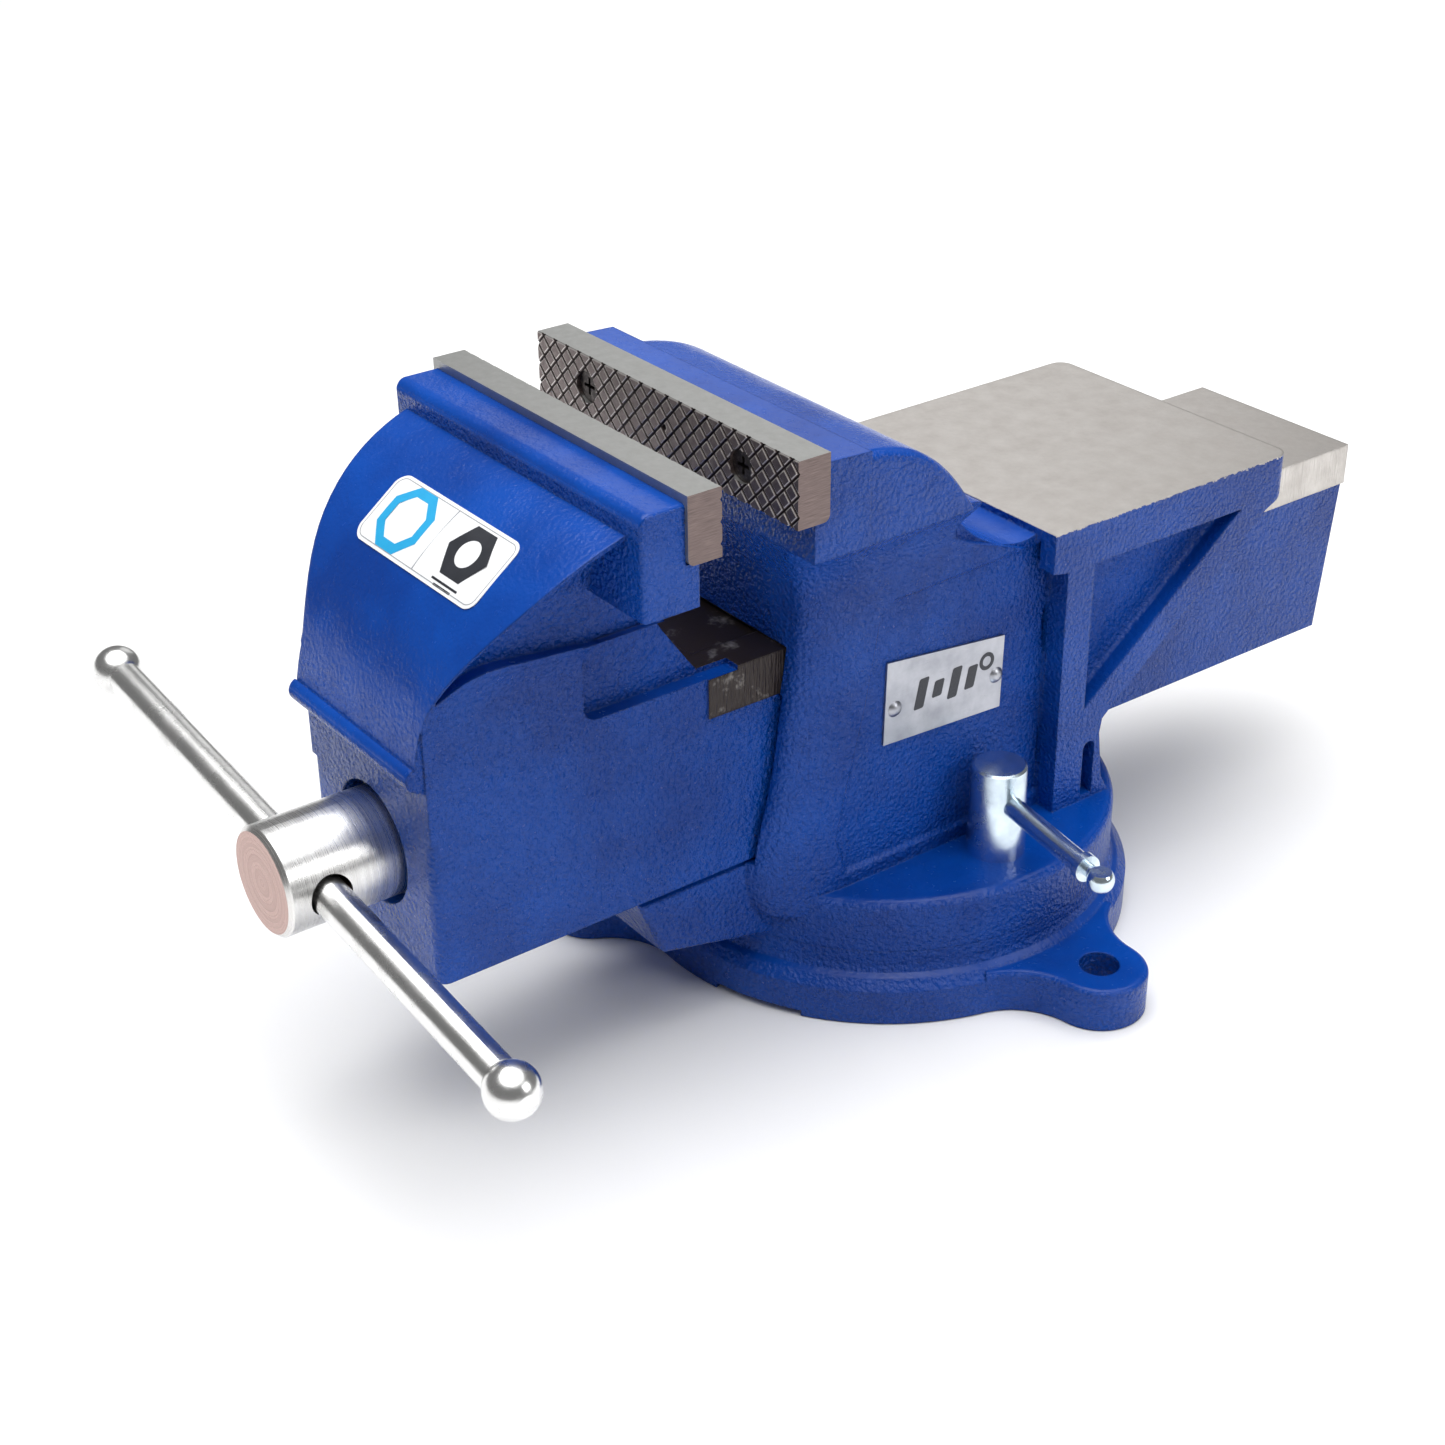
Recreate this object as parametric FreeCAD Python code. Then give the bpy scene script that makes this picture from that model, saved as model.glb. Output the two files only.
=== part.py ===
"""Bench vise with a swivel base, 150 mm jaws, built as separate solids.

Frame: millimetres.  Z is up and the underside of the base ring is Z = 0.  The
swivel axis is X = 0, Y = 0.  +Y runs to the back, over the anvil; the spindle
head and its handle are at -Y.  The jaws stand 30 mm apart.
"""
import FreeCAD, Part
import math
import os
from FreeCAD import Vector as V

os.makedirs("parts", exist_ok=True)

# ---- driving dimensions, mm -------------------------------------------------
JAW_WIDTH = 150.0
JAW_TOP = 234.5                 # height of the jaw plates' top edge
GRIP_Y = -102.0                 # grip face of the fixed jaw plate
OPENING = 30.0                  # between the two grip faces
PLATE_T = 13.2
PLATE_H = 24.0
SCREW_X = 44.5                  # plate screws, each side of the middle
SCREW_HEAD_R = 5.8
SCREW_HEAD_T = 6.0
SCREW_SUNK = 1.5                # head lies this far below the grip face
SCREW_R = 4.0
SCREW_DEPTH = 25.5              # from the grip face to the end of the tapped hole

SLIDE_TOP = 147.0
SLIDE_BOTTOM = 65.7
SLIDE_HALF = 39.5               # cast sides of the slide
LAND_HALF = 40.5                # machined guide lands
LAND_H = 17.0
SLIDE_WALL = 9.0
SLIDE_ROOF = 11.0
SLIDE_BACK = 215.0
GUIDE_GAP = 0.15
JAW_FRONT = -223.5              # front face of the moving jaw casting
FRONT_WALL = 30.0
JAW_HALF = 73.5                 # both jaw castings behind their plates
LAND_FRONT = -112.4             # front end of the guide lands
SEAT_STEP = 5.3                 # ledge under the moving plate
BLOCK_TOP = 231.4
BLOCK_UNDER = 194.8
NOSE_Y = -162.0                 # front of the moving jaw's square block
PAD_BACK = -70.3                # the fixed head's square pad ends here
CROWN_HALF = 73.0               # half width of the head's crown
HEAD_UNDER = 195.7

SPINDLE_Z = 103.2
THREAD_R = 12.0
LEAD = 6.0                      # screw lead per turn
SPINDLE_END = 145.0
HEAD_R = 19.6
HEAD_FRONT = -265.2
HEAD_BACK = -217.5
FIT = 0.06                      # radial play of a turned part in its bore
THREAD_DEPTH = 2.6
BEARING_DEPTH = 9.0             # counterbore for the thrust washer
RECESS_R = 22.3
WASHER_T = 3.0
WASHER_HOLE_R = 12.3
SPRING_ROOM = 16.0              # from the front wall back to the retaining washer
PIN_R = 2.0
PIN_Y = JAW_FRONT + FRONT_WALL + SPRING_ROOM + WASHER_T + 2.5

BAR_R = 6.5
BAR_HOLE_R = 7.6
BAR_SPIGOT_R = 3.9
BAR_SPIGOT = 7.0                # length of the spigot inside each ball
BAR_Y = -250.0
BAR_TILT = 6.07                 # degrees, the +X end hangs lower
BAR_LEFT = 140.4                # spindle axis to each ball's centre
BAR_RIGHT = 127.4
BALL_R = 9.3

COLUMN_HALF = 53.0
CHEEK_HALF = 63.0
CHANNEL_HALF = 42.0             # cast clearance beside the slide
CHANNEL_FLOOR = 64.2
BRACKET_LOW = 40.0              # column and cheeks run down into the foot
NUT_BOLT_R = 5.95
NUT_BOLT_SEAT = 30.0            # the lead nut's bolt head bears here
ANVIL_TOP = 167.7
ANVIL_FRONT = 26.5
ANVIL_BACK = 150.8
ANVIL_SLAB = 17.0

FOOT_R = 92.3
FOOT_TOP = 48.5
SEAM_Z = 27.5                   # foot rests on the base ring here
SPIGOT_R = 38.0
SPIGOT_LOW = 9.0
FOOT_CORE_R = 52.0              # foot is cored out between spigot and bolts
FLANGE_R = 99.3
FLANGE_TOP = 17.0
LUG_COUNT = 3
LUG_ANGLE = 5.2                 # first lug, degrees from +X
LUG_PCR = 116.0                 # radius of the circle the lug holes lie on
LUG_R = 18.3
LUG_BLEND_R = 28.0
LUG_HOLE_R = 7.5

LABEL_LEFT = -35.0              # sticker on the shield
LABEL_RIGHT = 38.5
LABEL_TOP_Y = -181.3
LABEL_LOW_Y = -202.6

LOCK_X = 68.0                   # lock bolts, each side of the swivel axis
LOCK_NUT_TOP = 85.0
LOCK_BAR_Z = 71.5
LOCK_BAR_R = 4.0
LOCK_BAR_ANGLE = -9.5
LOCK_BAR_END = 61.0             # nut axis to the end of the neck
BOLT_R = 8.0
T_NECK = 16.6
T_WIDTH = 28.0
T_FLOOR = 6.5
T_SHOULDER = 18.5


# ---- small geometry helpers -------------------------------------------------
def box(x0, x1, y0, y1, z0, z1):
    """Box between two corners."""
    return Part.makeBox(x1 - x0, y1 - y0, z1 - z0, V(x0, y0, z0))


def cyl(r, base, axis, length):
    """Cylinder of radius r from base along axis."""
    return Part.makeCylinder(r, length, V(*base), V(*axis))


def yz_prism(points, x0, x1):
    """Closed Y-Z outline carried along X from x0 to x1."""
    corners = [V(x0, y, z) for y, z in points]
    face = Part.Face(Part.makePolygon(corners + corners[:1]))
    return face.extrude(V(x1 - x0, 0, 0))


def spline(points):
    """Smooth edge through the points."""
    curve = Part.BSplineCurve()
    curve.interpolate(points)
    return curve.toShape()


def line(a, b):
    """Straight edge."""
    return Part.makeLine(a, b)


def edges_where(shape, keep):
    """Edges whose middle point satisfies keep(point)."""
    chosen = []
    for edge in shape.Edges:
        middle = edge.valueAt((edge.FirstParameter + edge.LastParameter) / 2)
        if keep(middle):
            chosen.append(edge)
    return chosen


def fuse_all(shapes):
    """Union of several solids, with the seams inside flat faces removed."""
    body = shapes[0].multiFuse(shapes[1:])
    return body.removeSplitter()


def mirrored(shape):
    """Copy on the other side of the middle plane X = 0."""
    return shape.mirror(V(0, 0, 0), V(1, 0, 0))


def save(name, shape):
    """Write one node."""
    shape.exportStep("parts/%s.step" % name)


# ---- swivel base ------------------------------------------------------------
def lug_outline(height):
    """One lug: round end, and a hollow flank each side that meets the flange."""
    reach = FLANGE_R + LUG_BLEND_R
    gap = LUG_R + LUG_BLEND_R
    cx = (reach ** 2 - gap ** 2 + LUG_PCR ** 2) / (2 * LUG_PCR)
    cy = math.sqrt(reach ** 2 - cx ** 2)
    on_flange = V(cx, cy, 0) * (FLANGE_R / reach)
    to_blend = V(cx - LUG_PCR, cy, 0)
    on_lug = V(LUG_PCR, 0, 0) + to_blend * (LUG_R / gap)
    middle = (on_flange + on_lug) * 0.5 - V(cx, cy, 0)
    on_blend = V(cx, cy, 0) + middle.normalize() * LUG_BLEND_R

    def low(p):
        return V(p.x, -p.y, 0)

    wire = Part.Wire([
        Part.Arc(on_flange, on_blend, on_lug).toShape(),
        Part.Arc(on_lug, V(LUG_PCR + LUG_R, 0, 0), low(on_lug)).toShape(),
        Part.Arc(low(on_lug), low(on_blend), low(on_flange)).toShape(),
        line(low(on_flange), V(FLANGE_R / 2, 0, 0)),
        line(V(FLANGE_R / 2, 0, 0), on_flange),
    ])
    return Part.Face(wire).extrude(V(0, 0, height))


def swivel_base():
    """Cast ring with three lugs, a centre bore and an annular T-slot."""
    profile = [
        (0, 0), (FLANGE_R, 0), (FLANGE_R, FLANGE_TOP - 3), (FLANGE_R - 3.5, FLANGE_TOP + 0.8),
        (FOOT_R + 1.2, FLANGE_TOP + 2), (FOOT_R, FLANGE_TOP + 4.5), (FOOT_R, SEAM_Z), (0, SEAM_Z),
    ]
    corners = [V(r, 0, z) for r, z in profile]
    disc = Part.Face(Part.makePolygon(corners + corners[:1])).revolve(V(0, 0, 0), V(0, 0, 1), 360)
    ring = disc
    step = 360.0 / LUG_COUNT
    for i in range(LUG_COUNT):
        lug = lug_outline(FLANGE_TOP)
        rim = edges_where(lug, lambda p: abs(p.z - FLANGE_TOP) < 0.01
                          and math.hypot(p.x, p.y) > FLANGE_R)
        lug = lug.makeFillet(2.2, rim)
        lug.rotate(V(0, 0, 0), V(0, 0, 1), LUG_ANGLE + i * step)
        ring = ring.fuse(lug)
    ring = ring.removeSplitter()
    cuts = [cyl(SPIGOT_R + 0.05, (0, 0, -1), (0, 0, 1), SEAM_Z + 2)]
    for low, high, width in ((T_SHOULDER - 1, SEAM_Z + 1, T_NECK), (T_FLOOR, T_SHOULDER, T_WIDTH)):
        outer = cyl(LOCK_X + width / 2, (0, 0, low), (0, 0, 1), high - low)
        cuts.append(outer.cut(cyl(LOCK_X - width / 2, (0, 0, 0), (0, 0, 1), SEAM_Z + 2)))
    for i in range(LUG_COUNT):
        hole = cyl(LUG_HOLE_R, (LUG_PCR, 0, -1), (0, 0, 1), 30)
        relief = box(60, 110, -18, 18, -1, 2.2)
        relief.rotate(V(0, 0, 0), V(0, 0, 1), -72.0)
        for cutter in (hole, relief):
            cutter.rotate(V(0, 0, 0), V(0, 0, 1), LUG_ANGLE + i * step)
            cuts.append(cutter)
    return ring.cut(cuts)


# ---- fixed jaw casting ------------------------------------------------------
def column_section(z, front, lip, half, flank, back):
    """Level outline of the column: straight lip, swept corner, straight side."""
    def corner(s):
        return [V(s * (lip + (half - lip) * math.sin(t)), flank - (flank - front) * math.cos(t), z)
                for t in [i * math.pi / 12 for i in range(7)]]

    right = corner(1)
    left = corner(-1)
    return Part.Wire([
        line(left[0], right[0]),
        spline(right),
        line(right[-1], V(half, back, z)),
        line(V(half, back, z), V(-half, back, z)),
        line(V(-half, back, z), left[-1]),
        spline(left),
    ])


def column():
    """Column that carries the head, hollowed forward and back like a waist.

    Each row is height, front lip, lip half width, half width, flank, back.
    """
    side = COLUMN_HALF + 1.4
    rows = [
        (BRACKET_LOW, -91.0, 34.0, side, -60.0, 34.0),
        (64.0, -96.0, 36.0, side, -62.0, 34.0),
        (88.0, -89.0, 43.0, side, -60.5, 34.0),
        (112.0, -84.5, 44.5, side, -55.5, 34.0),
        (136.0, -81.0, 45.0, side, -51.0, 34.0),
        (157.0, -78.5, 45.0, side + 0.2, -48.5, 30.0),
        (172.0, -80.5, 46.0, side + 2.0, -52.0, -7.0),
        (185.0, -86.5, 49.0, side + 7.0, -62.0, -19.0),
        (197.0, -93.0, 56.0, 70.5, -78.0, -26.0),
    ]
    return Part.makeLoft([column_section(*row) for row in rows], True, False)


def head():
    """Head behind the fixed plate: square pad, then a crown that rolls down."""
    seat = GRIP_Y + PLATE_T
    pad_front = GRIP_Y + 8.3
    pad = yz_prism([(pad_front, HEAD_UNDER), (pad_front, JAW_TOP - PLATE_H), (seat, JAW_TOP - PLATE_H),
                    (seat, 230.3), (PAD_BACK, 229.4), (PAD_BACK, HEAD_UNDER)], -JAW_HALF, JAW_HALF)
    side = CROWN_HALF
    crown = [V(-side, y, z) for y, z in (
        (PAD_BACK - 1.0, 229.0), (-61.0, 227.2), (-50.1, 223.6), (-43.4, 219.8), (-35.8, 213.6),
        (-29.4, 206.4), (-25.0, 200.4), (-21.6, HEAD_UNDER))]
    low_front = V(-side, PAD_BACK - 1.0, HEAD_UNDER)
    outline = Part.Wire([
        spline(crown),
        line(crown[-1], low_front),
        line(low_front, crown[0]),
    ])
    hump = Part.Face(outline).extrude(V(2 * side, 0, 0))
    for s, radius in ((1, 4.0), (-1, 20.0)):
        shoulder = edges_where(hump, lambda p: abs(p.x - s * side) < 0.01 and p.z > HEAD_UNDER + 1
                               and p.y > PAD_BACK)
        hump = hump.makeFillet(radius, shoulder)
    return pad.fuse(hump)


def saddle():
    """Low web between the head and the anvil, dished on top."""
    side = -COLUMN_HALF
    top = [V(side, y, z) for y, z in (
        (-32.0, 201.0), (-21.5, 193.5), (-13.0, 182.0), (-1.5, 171.0), (11.0, 165.2),
        (22.0, 164.0), (30.0, 166.5))]
    foot_back = V(side, 34, 140)
    foot_front = V(side, -60, 140)
    outline = Part.Wire([
        spline(top),
        line(top[-1], foot_back),
        line(foot_back, foot_front),
        line(foot_front, top[0]),
    ])
    return Part.Face(outline).extrude(V(2 * COLUMN_HALF, 0, 0))


def anvil_bracket():
    """Anvil slab on two cheeks; each cheek has a triangular pocket outside."""
    under = ANVIL_TOP - ANVIL_SLAB
    outline = [
        (34, BRACKET_LOW), (34, under), (ANVIL_FRONT, under + 1.5), (ANVIL_FRONT, ANVIL_TOP),
        (ANVIL_BACK, ANVIL_TOP), (ANVIL_BACK, under + 3), (147, under - 1), (140, 146.5),
        (62.5, 86), (57.8, 82), (56.8, 76), (59.5, 56), (64, 48), (64, BRACKET_LOW),
    ]
    bracket = yz_prism(outline, -CHEEK_HALF, CHEEK_HALF)
    back_corner = [e for e in bracket.Edges
                   if abs(e.BoundBox.YMin - ANVIL_BACK) < 0.01 and e.BoundBox.XLength < 0.01]
    bracket = bracket.makeFillet(6.0, back_corner)
    pocket = [(47.5, under), (126.0, under), (47.5, 89.5)]
    cutter = yz_prism(pocket, CHEEK_HALF - 8.8, CHEEK_HALF + 1)
    inner = edges_where(cutter, lambda p: p.x < CHEEK_HALF - 8.7)
    cutter = cutter.makeFillet(3.0, inner)
    return bracket.cut([cutter, mirrored(cutter)])


def end_slot():
    """Narrow round-topped pocket behind each cheek's upright rib."""
    slot = box(CHEEK_HALF - 7.0, CHEEK_HALF + 1, 48.6, 54.6, FOOT_TOP + 2.0, 71.0)
    return slot.fuse(cyl(3.0, (CHEEK_HALF - 7.0, 51.6, 71.0), (1, 0, 0), 8.0))


def side_panel():
    """Shallow recess in the column's flat side, leaning with the front edge."""
    def outline(grow, x):
        return Part.makePolygon([V(x, y, z) for y, z in (
            (-60.5 - grow, 55.0 - grow), (-66.0 - grow, 70.0), (-61.5 - grow, 90.0), (-53.5 - grow, 121.0),
            (-47.5 - grow, 153.0), (-42.0, 158.5 + grow), (33.5, 161.0 + grow), (33.5, 55.0 - grow),
            (-60.5 - grow, 55.0 - grow))])
    pan = Part.makeLoft([outline(-0.5, COLUMN_HALF), outline(2.5, COLUMN_HALF + 2.4)], True, True)
    return pan


def tongue():
    """Bracket in front of the foot, right under the slide."""
    block = yz_prism([(-142.6, CHANNEL_FLOOR), (-132.4, 39.8), (-84.0, 28.6), (-60, 28.6),
                      (-60, CHANNEL_FLOOR)], -39.0, 39.0)
    front = edges_where(block, lambda p: p.y < -86 and (abs(p.x) > 38.9 or p.z < 45))
    return block.makeFillet(2.5, front)


def foot():
    """Round swivel foot with the spigot that centres it in the base."""
    disc = cyl(FOOT_R, (0, 0, SEAM_Z), (0, 0, 1), FOOT_TOP - SEAM_Z)
    rim = edges_where(disc, lambda p: abs(p.z - FOOT_TOP) < 0.01)
    disc = disc.makeFillet(4.0, rim)
    spigot = cyl(SPIGOT_R, (0, 0, SPIGOT_LOW), (0, 0, 1), SEAM_Z - SPIGOT_LOW + 1)
    return disc.fuse(spigot)


def screw_holes(seat, direction):
    """Tapped holes behind a jaw plate; direction is +1 when they run to +Y."""
    z = JAW_TOP - PLATE_H / 2
    return [cyl(SCREW_R, (x, seat - direction, z), (0, direction, 0), SCREW_DEPTH - PLATE_T + 1)
            for x in (-SCREW_X, SCREW_X)]


def fixed_jaw():
    """The whole rear casting: foot, column, head, saddle, anvil and tongue."""
    body = fuse_all([foot(), column(), head(), saddle(), anvil_bracket(), tongue()])
    cuts = [
        box(-CHANNEL_HALF, CHANNEL_HALF, -160, 170, CHANNEL_FLOOR, SLIDE_TOP - LAND_H - 0.5),
        box(-LAND_HALF - GUIDE_GAP, LAND_HALF + GUIDE_GAP, -160, 170,
            SLIDE_TOP - LAND_H - 1, SLIDE_TOP + GUIDE_GAP),
        cyl(NUT_BOLT_R + 0.25, (0, 0, 0), (0, 0, 1), CHANNEL_FLOOR + 2),
        cyl(11.0, (0, 0, 0), (0, 0, 1), NUT_BOLT_SEAT),
        cyl(FOOT_CORE_R, (0, 0, SEAM_Z - 1), (0, 0, 1), 25.0).cut(
            cyl(SPIGOT_R, (0, 0, 0), (0, 0, 1), 70)),
    ]
    cuts += [cyl(BOLT_R + 0.3, (s * LOCK_X, 0, SEAM_Z - 1), (0, 0, 1), 30) for s in (-1, 1)]
    cuts += screw_holes(GRIP_Y + PLATE_T, 1)
    cuts += rivet_shanks(1.5)
    cuts += [side_panel(), mirrored(side_panel())]
    cuts += [end_slot(), mirrored(end_slot())]
    return body.cut(cuts)


# ---- jaw plates and their screws --------------------------------------------
def jaw_plate(grip_y, direction):
    """Ground steel plate; direction is +1 when its back lies at +Y."""
    back = grip_y + direction * PLATE_T
    half = JAW_WIDTH / 2
    plate = box(-half, half, min(grip_y, back), max(grip_y, back), JAW_TOP - PLATE_H, JAW_TOP)
    lower_back = edges_where(plate, lambda p: abs(p.y - back) < 0.01
                             and abs(p.z - JAW_TOP + PLATE_H) < 0.01)
    plate = plate.makeFillet(2.5, lower_back)
    rim = edges_where(plate, lambda p: p.z > JAW_TOP - 0.01)
    plate = plate.makeChamfer(0.4, rim)
    z = JAW_TOP - PLATE_H / 2
    for x in (-SCREW_X, SCREW_X):
        plate = plate.cut(cyl(SCREW_HEAD_R + 0.1, (x, grip_y - direction, z), (0, direction, 0),
                              SCREW_SUNK + SCREW_HEAD_T + 1.0))
        plate = plate.cut(cyl(SCREW_R + 0.4, (x, grip_y, z), (0, direction, 0), PLATE_T + 1))
    return plate


def plate_screws(grip_y, direction):
    """Two cross-recessed cheese-head screws, heads sunk below the grip face."""
    z = JAW_TOP - PLATE_H / 2
    screws = []
    for x in (-SCREW_X, SCREW_X):
        head_start = grip_y + direction * SCREW_SUNK
        body = cyl(SCREW_HEAD_R, (x, head_start, z), (0, direction, 0), SCREW_HEAD_T)
        body = body.fuse(cyl(SCREW_R - 0.05, (x, head_start, z), (0, direction, 0), SCREW_DEPTH - 3.0))
        for w, h in ((1.3, 6.4), (6.4, 1.3)):       # the two arms of the cross recess
            y0, y1 = sorted((head_start - direction, head_start + direction * 2.2))
            body = body.cut(box(x - w / 2, x + w / 2, y0, y1, z - h / 2, z + h / 2))
        screws.append(body)
    return Part.makeCompound(screws)


# ---- moving jaw casting -----------------------------------------------------
def shield_points():
    """Side outline of the curved front shield, from under the nose to the lip."""
    return [(-162.5, 222.6), (-180.6, 214.7), (-196.0, 203.9), (-207.2, 192.8),
            (-217.8, 177.0), (-223.6, 162.8), (-226.8, 149.6)]


def shield_arc(y_start, y_end):
    """Seven points of the shield's outline between two places along Y."""
    curve = spline([V(0, y, z) for y, z in shield_points()]).Curve
    points = []
    for i in range(7):
        y = y_start + (y_end - y_start) * i / 6.0
        crossing = curve.intersectCC(Part.LineSegment(V(0, y, 100), V(0, y, 260)))
        points.append((y, crossing[0].Z))
    return points


def shield_edge_points():
    """Shield's side edge seen from the front: half width and height."""
    return [(SLIDE_HALF, 166.0), (45.2, 179.6), (54.6, 195.2), (62.2, 210.2), (65.8, 222.6)]


def cove_section(y, top, half, foot):
    """Level cut through what the cove removes at one station along the jaw."""
    rim = top - 1.5

    def arc(t):
        x = SLIDE_HALF + (half - SLIDE_HALF) * (1 - math.cos(t))
        return V(x, y, foot + (rim - foot) * math.sin(t))

    hollow = [arc(i * math.pi / 8) for i in range(5)]
    return Part.Wire([
        spline(hollow),
        line(hollow[-1], V(85, y, rim)),
        line(V(85, y, rim), V(85, y, foot)),
        line(V(85, y, foot), hollow[0]),
    ])


def cove():
    """Hollow between the shield's side edge and the flat side of the slide.

    Each row is a station: Y, shield height, shield half width, foot of the cove.
    """
    rows = [(-162.5, 222.6, 65.8, 175.1), (-176.0, 217.1, 65.0, 177.0), (-190.0, 208.6, 61.2, 178.8),
            (-202.0, 198.3, 55.8, 179.6), (-212.0, 186.5, 49.2, 176.4), (-219.0, 174.8, 42.6, 171.8)]
    hollow = Part.makeLoft([cove_section(*row) for row in rows], True, False)
    straight = Part.Face(cove_section(*rows[0])).extrude(V(0, 30, 0))
    return [hollow, straight]


def jaw_mass():
    """Material between the shield, the block and the slide, with the lip bead."""
    seat = GRIP_Y - OPENING - PLATE_T
    x0 = -80
    shield = [V(x0, y, z) for y, z in shield_points()]
    neck = [V(x0, LAND_FRONT, SLIDE_TOP - 1), V(x0, -121.0, 158.0), V(x0, -131.0, 173.0),
            V(x0, seat + SEAT_STEP, BLOCK_UNDER)]
    bead = [V(x0, -227.4, 150.2), V(x0, -230.2, 146.2), V(x0, -227.6, 142.2)]
    side = Part.Wire([
        spline(shield),
        line(shield[-1], bead[0]),
        Part.Arc(*bead).toShape(),
        line(bead[-1], V(x0, JAW_FRONT, 140.0)),
        line(V(x0, JAW_FRONT, 140.0), V(x0, JAW_FRONT, 120)),
        line(V(x0, JAW_FRONT, 120), V(x0, LAND_FRONT, 120)),
        line(V(x0, LAND_FRONT, 120), neck[0]),
        spline(neck),
        line(neck[-1], V(x0, seat + SEAT_STEP, JAW_TOP - PLATE_H)),
        line(V(x0, seat + SEAT_STEP, JAW_TOP - PLATE_H), V(x0, seat, JAW_TOP - PLATE_H)),
        line(V(x0, seat, JAW_TOP - PLATE_H), V(x0, seat, 222.6)),
        line(V(x0, seat, 222.6), shield[0]),
    ])
    edge = shield_edge_points()
    right = [V(x, -240, z) for x, z in edge]
    left = [V(-x, -240, z) for x, z in edge]
    front = Part.Wire([
        line(V(-SLIDE_HALF, -240, 110), V(SLIDE_HALF, -240, 110)),
        line(V(SLIDE_HALF, -240, 110), right[0]),
        spline(right),
        line(right[-1], left[-1]),
        spline(left),
        line(left[0], V(-SLIDE_HALF, -240, 110)),
    ])
    mass = Part.Face(side).extrude(V(160, 0, 0)).common(Part.Face(front).extrude(V(0, 140, 0)))
    cuts = [box(s * 42 - 3.2, s * 42 + 3.2, -240, JAW_FRONT, 120, 166) for s in (-1, 1)]
    for hollow in cove():
        cuts += [hollow, mirrored(hollow)]
    return mass.cut(cuts)


def jaw_block():
    """Square block behind the moving plate, with its rounded nose."""
    seat = GRIP_Y - OPENING - PLATE_T
    block = yz_prism([
        (NOSE_Y, BLOCK_TOP), (seat, BLOCK_TOP), (seat, JAW_TOP - PLATE_H),
        (seat + SEAT_STEP, JAW_TOP - PLATE_H), (seat + SEAT_STEP, BLOCK_UNDER),
        (NOSE_Y + 0.8, BLOCK_UNDER),
    ], -JAW_HALF, JAW_HALF)
    nose = edges_where(block, lambda p: p.y < NOSE_Y + 0.1 and p.z > BLOCK_TOP - 0.4)
    block = block.makeFillet(4.0, nose)
    ends = edges_where(block, lambda p: abs(abs(p.x) - JAW_HALF) < 0.01 and p.z > BLOCK_TOP - 0.1)
    return block.makeFillet(1.5, ends)


def slide_beam():
    """Inverted U beam with machined lands along its top edges."""
    back = SLIDE_BACK - 0.8
    beam = yz_prism([
        (JAW_FRONT, SLIDE_BOTTOM), (SLIDE_BACK - 7.5, SLIDE_BOTTOM), (back, SLIDE_TOP - LAND_H),
        (back, SLIDE_TOP - 0.5), (JAW_FRONT, SLIDE_TOP - 0.5),
    ], -SLIDE_HALF, SLIDE_HALF)
    corners = edges_where(beam, lambda p: abs(p.y - JAW_FRONT) < 0.01
                          and abs(abs(p.x) - SLIDE_HALF) < 0.01)
    beam = beam.makeFillet(4.0, corners)
    lands = box(-LAND_HALF, LAND_HALF, LAND_FRONT, SLIDE_BACK, SLIDE_TOP - LAND_H, SLIDE_TOP)
    return beam.fuse(lands)


def moving_jaw():
    """Front casting: slide beam, jaw mass and block, cored out below."""
    body = fuse_all([slide_beam(), jaw_mass(), jaw_block()])
    inner = SLIDE_HALF - SLIDE_WALL
    cuts = [
        box(-inner, inner, JAW_FRONT + FRONT_WALL, SLIDE_BACK + 5,
            SLIDE_BOTTOM - 5, SLIDE_TOP - SLIDE_ROOF),
        box(-24, 24, -196, -152, SLIDE_TOP - SLIDE_ROOF - 1, 186),
        cyl(THREAD_R + FIT, (0, JAW_FRONT - 5, SPINDLE_Z), (0, 1, 0), FRONT_WALL + 20),
        cyl(RECESS_R, (0, JAW_FRONT - 15, SPINDLE_Z), (0, 1, 0), 15 + BEARING_DEPTH),
        box(-24.0, 24.0, -108.0, SLIDE_BACK - 90, SLIDE_TOP - 1.2, SLIDE_TOP + 1),
    ]
    pocket = box(33.5, 45.0, -162.8, -100.0, SLIDE_TOP - 1.8, 175.0)
    front_corners = edges_where(pocket, lambda p: abs(p.y + 162.8) < 0.01 and 35 < p.x < 44)
    pocket = pocket.makeFillet(5.5, front_corners)
    cuts += [pocket, mirrored(pocket)]
    cuts += screw_holes(GRIP_Y - OPENING - PLATE_T, -1)
    return body.cut(cuts)


# ---- spindle, its bearing parts and the lead nut ----------------------------
def along_bar(distance):
    """Point on the handle bar's axis, distance from the spindle axis."""
    t = math.radians(BAR_TILT)
    return V(distance * math.cos(t), BAR_Y, SPINDLE_Z - distance * math.sin(t))


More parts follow.
